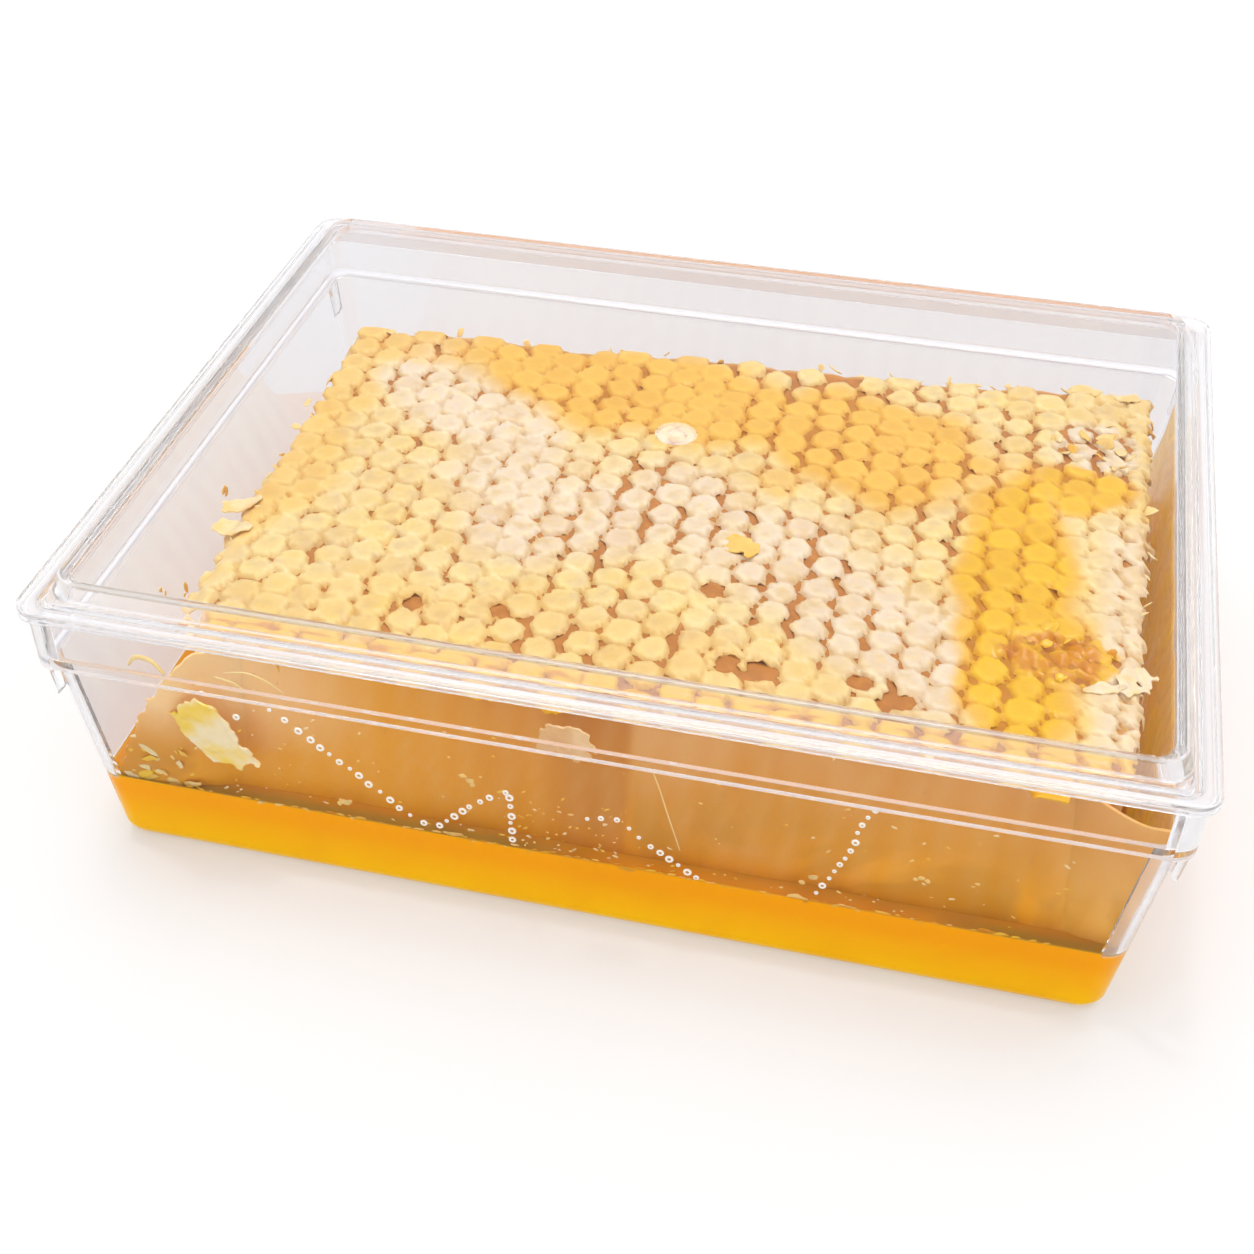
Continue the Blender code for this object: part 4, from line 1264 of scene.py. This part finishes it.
class HONEYCOMB_OT_lid(bpy.types.Operator):
    """Build the lid with its flange, raised panel and moulding mark"""

    bl_idname = "honeycomb.lid"
    bl_label = "Lid"

    def execute(self, context):
        look = context.scene.honeycomb_look
        under = FLANGE_TOP - WALL
        foot = FLANGE_TOP - FLANGE_DROP
        middle = 30.0
        profile = [
            (middle, HEIGHT - WALL, FLANGE_RADIUS),
            (PANEL_INSET + WALL, HEIGHT - WALL, FLANGE_RADIUS),
            (PANEL_FOOT + WALL + 0.1, under, FLANGE_RADIUS),
            (PLUG_INSET + PLUG_WALL, under - 0.05, COLLAR_RADIUS - WALL),
            (PLUG_INSET + PLUG_WALL, PLUG_FOOT, COLLAR_RADIUS - WALL),
            (PLUG_INSET, PLUG_FOOT, COLLAR_RADIUS - 0.5),
            (PLUG_INSET, under, COLLAR_RADIUS - 0.5),
            (SKIRT_WALL, under, FLANGE_RADIUS - SKIRT_WALL),
            (SKIRT_WALL, foot, FLANGE_RADIUS - SKIRT_WALL),
            (0.0, foot, FLANGE_RADIUS),
            (0.0, FLANGE_TOP, FLANGE_RADIUS),
            (PANEL_FOOT, FLANGE_TOP, FLANGE_RADIUS),
            (PANEL_INSET, HEIGHT, FLANGE_RADIUS),
            (middle, HEIGHT, FLANGE_RADIUS),
        ]
        rings = [rounded_ring(*spot) for spot in soften(profile, look.edge_fillet / MM)]
        count = len(rings[0])
        mark = ((GATE_RADIUS + 0.2, 0.0), (GATE_RADIUS, -0.05), (GATE_RADIUS - 0.3, -0.32),
                (GATE_NUB + 0.4, -0.35), (GATE_NUB, -0.2), (GATE_NUB * 0.7, -0.04), (0.3, 0.0))
        for radius, drop in mark:
            rings.append([Vector((radius * math.cos(math.tau * (i + 0.5) / count),
                                  radius * math.sin(math.tau * (i + 0.5) / count), HEIGHT + drop))
                          for i in range(count)])
        bm = bmesh.new()
        sweep(bm, rings, creased=True)
        bm.normal_update()
        for face in bm.faces:
            spot = face.calc_center_median()
            on_panel = spot.z > (HEIGHT - WALL - 0.05) * MM and abs(face.normal.z) > 0.99
            on_mark = spot.z > (HEIGHT - 0.5) * MM and spot.xy.length < GATE_RADIUS * MM
            under_edge = -(WIDTH / 2 - PANEL_INSET - 0.4) * MM < spot.y < -0.3 * WIDTH * MM
            shaded = under_edge and HEIGHT - WALL - 0.5 < spot.z / MM < HEIGHT - WALL \
                and 0.3 < abs(face.normal.z) < 0.99
            at_back = spot.y > (WIDTH / 2 - PANEL_FOOT - 0.5) * MM and not on_panel
            # Fillet faces and the faces along the back take the whiter edge plastic: painted highlights
            # along the edges
            on_edge = 0.4 < abs(face.normal.z) < 0.97 or at_back
            face.material_index = (2 if on_mark else 1 if on_panel else 4 if shaded
                                   else 3 if on_edge else 0)
        keep_piece("lid_shell", bm, [clear_plastic("lid_polystyrene", look.lid_tint),
                                     clear_plastic("lid_pane", look.lid_tint, 1.18, 1.0),
                                     clear_plastic("gate_mark", (0.97, 0.96, 1.0), 1.4, 0.72),
                                     clear_plastic("lid_edge_highlights", look.edge_tint, 1.57, 0.7, 0.07),
                                     clear_plastic("lid_shaded_edge", look.edge_shade, 1.57)],
                   replaces=("lid",))
        return {"FINISHED"}


class HONEYCOMB_OT_slab(bpy.types.Operator):
    """Build the block of honey-filled cells"""

    bl_idname = "honeycomb.slab"
    bl_label = "Slab of cells"

    def execute(self, context):
        make_slab(context.scene.honeycomb_look)
        return {"FINISHED"}


class HONEYCOMB_OT_cappings(bpy.types.Operator):
    """Build the wax cappings"""

    bl_idname = "honeycomb.cappings"
    bl_label = "Cappings"

    def execute(self, context):
        make_cappings(context.scene.honeycomb_look)
        return {"FINISHED"}


class HONEYCOMB_OT_torn_wax(bpy.types.Operator):
    """Build the torn fringe, the crushed cells and the loose sheets on the slab"""

    bl_idname = "honeycomb.torn_wax"
    bl_label = "Torn wax"

    def execute(self, context):
        make_torn_wax(context.scene.honeycomb_look)
        return {"FINISHED"}


class HONEYCOMB_OT_wall_wax(bpy.types.Operator):
    """Build the two sheets of wax and the crumbs on the front wall"""

    bl_idname = "honeycomb.wall_wax"
    bl_label = "Wax on the walls"

    def execute(self, context):
        look = context.scene.honeycomb_look
        make_flake(look)
        make_fold(look)
        make_wall_crumbs(look)
        return {"FINISHED"}


class HONEYCOMB_OT_bubbles(bpy.types.Operator):
    """Build the chains of bubbles on the front wall"""

    bl_idname = "honeycomb.bubbles"
    bl_label = "Bubbles"

    def execute(self, context):
        make_bubbles(context.scene.honeycomb_look)
        return {"FINISHED"}


def slab_edge_towards(corners, middle, heading):
    """Distance from the middle to the slab's edge along a heading."""
    best = None
    for start, end in zip(corners, corners[1:] + corners[:1]):
        side = end - start
        across = heading.x * side.y - heading.y * side.x
        if abs(across) < 1e-9:
            continue
        gap = start - middle
        distance = (gap.x * side.y - gap.y * side.x) / across
        share = (gap.x * heading.y - gap.y * heading.x) / across
        if distance > 0 and -1e-6 <= share <= 1 + 1e-6:
            best = distance if best is None else min(best, distance)
    return best


class HONEYCOMB_OT_honey(bpy.types.Operator):
    """Build the liquid honey round the slab's foot, up to its level"""

    bl_idname = "honeycomb.honey"
    bl_label = "Liquid honey"

    def execute(self, context):
        look = context.scene.honeycomb_look
        bite = 0.2          # how far the honey reaches into the wall, so that no air shows
        sides = 40
        floor = 0.12
        rings = []
        heights = [5.5, 7.5, 9.5, 11.0, HONEY_LEVEL - 0.25]
        for height, inset in ((floor, 1.35), (0.35, 0.95), (0.7, 0.62), (1.3, 0.36), (2.5, 0.42),
                              (4.0, 0.62)):
            rings.append(rounded_ring(wall_inset(height) + inset, height, WALL_RADIUS - inset, sides))
        for height in heights:
            rings.append(rounded_ring(wall_inset(height) + WALL - bite, height,
                                      WALL_RADIUS - WALL, sides))
        level_inset = wall_inset(HONEY_LEVEL) + WALL
        below = len(rings)
        for inset, lift in ((level_inset - bite, 0.0), (level_inset + 0.3, -0.22),
                            (level_inset + 0.9, -0.38)):
            rings.append(rounded_ring(inset, HONEY_LEVEL + lift, WALL_RADIUS - WALL, sides))
        corners = slab_corners(HONEY_LEVEL)
        middle = sum(corners, Vector((0, 0))) / 4
        for depth, height in ((0.5, HONEY_LEVEL - 0.3), (2.5, HONEY_LEVEL - 0.4), (2.5, floor)):
            ring = []
            for point in rings[0]:
                heading = (point.xy - middle).normalized()
                reach = slab_edge_towards(corners, middle, heading) - depth
                spot = middle + heading * reach
                ring.append(Vector((spot.x, spot.y, height)))
            rings.append(ring)
        bm = bmesh.new()
        sweep(bm, rings, cap_start=False, cap_end=False, closed=True)
        bmesh.ops.recalc_face_normals(bm, faces=bm.faces)
        surface = bm.verts.layers.float.new("surface")
        bm.verts.ensure_lookup_table()
        for vert in bm.verts[below * len(rings[0]):]:
            vert[surface] = 1.0 if vert.co.z > 0.5 * HONEY_LEVEL * MM else 0.0
        keep_piece("honey_pool", bm, [liquid_honey(look)], replaces=("honey",))
        smear_honey(look)
        return {"FINISHED"}


class HONEYCOMB_OT_stage(bpy.types.Operator):
    """Set out the pale floor, the soft studio light and the camera"""

    bl_idname = "honeycomb.stage"
    bl_label = "Stage"

    def execute(self, context):
        scene = context.scene
        bm = bmesh.new()
        bmesh.ops.create_grid(bm, x_segments=1, y_segments=1, size=4.0)
        mesh = bpy.data.meshes.new("floor")
        bm.to_mesh(mesh)
        bm.free()
        floor = bpy.data.objects.new("floor", mesh)
        scene.collection.objects.link(floor)
        material, tree, shader = start_material("pale_floor")
        shader.inputs["Base Color"].default_value = (0.56, 0.56, 0.56, 1.0)
        shader.inputs["Roughness"].default_value = 0.9
        shader.inputs["Specular IOR Level"].default_value = 0.0
        shader.inputs["Emission Color"].default_value = (1.0, 1.0, 1.0, 1.0)
        shader.inputs["Emission Strength"].default_value = 0.25
        mesh.materials.append(material)

        add_softbox("top_softbox", (0.1, 0.25, 1.1), (0, 0, 0.02), 1.0, 6.0)
        add_softbox("glint_softbox", (-0.25, 0.1, 1.2), (0.06, 0.03, 0.037), 0.1, 1.8)
        make_world(scene)

        lens = bpy.data.cameras.new("camera")
        camera = bpy.data.objects.new("camera", lens)
        scene.collection.objects.link(camera)
        camera.location = (0.040917, -0.220755, 0.187853)
        camera.rotation_euler = (math.radians(50.196), 0.0, math.radians(14.238))
        lens.lens = 52.15
        lens.sensor_width = 36.0
        lens.shift_x = 0.0415
        lens.shift_y = 0.0384
        lens.clip_start = 0.01
        lens.clip_end = 50.0
        scene.camera = camera
        scene.view_settings.view_transform = "Standard"
        scene.cycles.max_bounces = 40
        scene.cycles.glossy_bounces = 40
        scene.cycles.transmission_bounces = 40
        scene.cycles.transparent_max_bounces = 40
        return {"FINISHED"}


def add_softbox(name, place, aim, size, power):
    lamp = bpy.data.lights.new(name, "AREA")
    lamp.shape = "SQUARE"
    lamp.size = size
    lamp.energy = power
    obj = bpy.data.objects.new(name, lamp)
    bpy.context.scene.collection.objects.link(obj)
    obj.location = place
    obj.rotation_euler = (Vector(aim) - Vector(place)).to_track_quat("-Z", "Y").to_euler()


def make_world(scene):
    """A pale room: bright overhead and behind the viewer, dimmer low down at the far side."""
    world = bpy.data.worlds.new("studio")
    world.use_nodes = True
    tree = world.node_tree
    place = add_node(tree, "ShaderNodeTexCoord").outputs["Generated"]
    parts = add_node(tree, "ShaderNodeSeparateXYZ", {"Vector": place})
    around = blend(tree, ranged(tree, parts.outputs["Y"], -0.5, 0.7), (1.0, 1.0, 1.0), (0.56, 0.56, 0.585))
    colour = blend(tree, ranged(tree, parts.outputs["Z"], 0.1, 0.8), around, (0.72, 0.72, 0.72))
    background = tree.nodes["Background"]
    tree.links.new(colour, background.inputs["Color"])
    background.inputs["Strength"].default_value = 1.3
    scene.world = world


class HONEYCOMB_PT_panel(bpy.types.Panel):
    """Lists the pieces of the boxed honeycomb"""

    bl_idname = "HONEYCOMB_PT_panel"
    bl_label = "Boxed Honeycomb"
    bl_space_type = "VIEW_3D"
    bl_region_type = "UI"
    bl_category = "Honeycomb"

    def draw(self, context):
        for operator in OPERATORS:
            self.layout.operator(operator.bl_idname)
        look = context.scene.honeycomb_look
        for key in look.__annotations__:
            self.layout.prop(look, key)


OPERATORS = (
    HONEYCOMB_OT_tray,
    HONEYCOMB_OT_lid,
    HONEYCOMB_OT_slab,
    HONEYCOMB_OT_cappings,
    HONEYCOMB_OT_torn_wax,
    HONEYCOMB_OT_wall_wax,
    HONEYCOMB_OT_bubbles,
    HONEYCOMB_OT_honey,
    HONEYCOMB_OT_stage,
)
CLASSES = (HoneycombLook, *OPERATORS, HONEYCOMB_PT_panel)


def register():
    for cls in CLASSES:
        bpy.utils.register_class(cls)
    bpy.types.Scene.honeycomb_look = PointerProperty(type=HoneycombLook)


def unregister():
    del bpy.types.Scene.honeycomb_look
    for cls in reversed(CLASSES):
        bpy.utils.unregister_class(cls)


def main():
    register()
    bpy.ops.honeycomb.tray()
    bpy.ops.honeycomb.lid()
    bpy.ops.honeycomb.slab()
    bpy.ops.honeycomb.cappings()
    bpy.ops.honeycomb.torn_wax()
    bpy.ops.honeycomb.wall_wax()
    bpy.ops.honeycomb.bubbles()
    bpy.ops.honeycomb.honey()
    bpy.ops.honeycomb.stage()


if __name__ == "__main__":
    main()
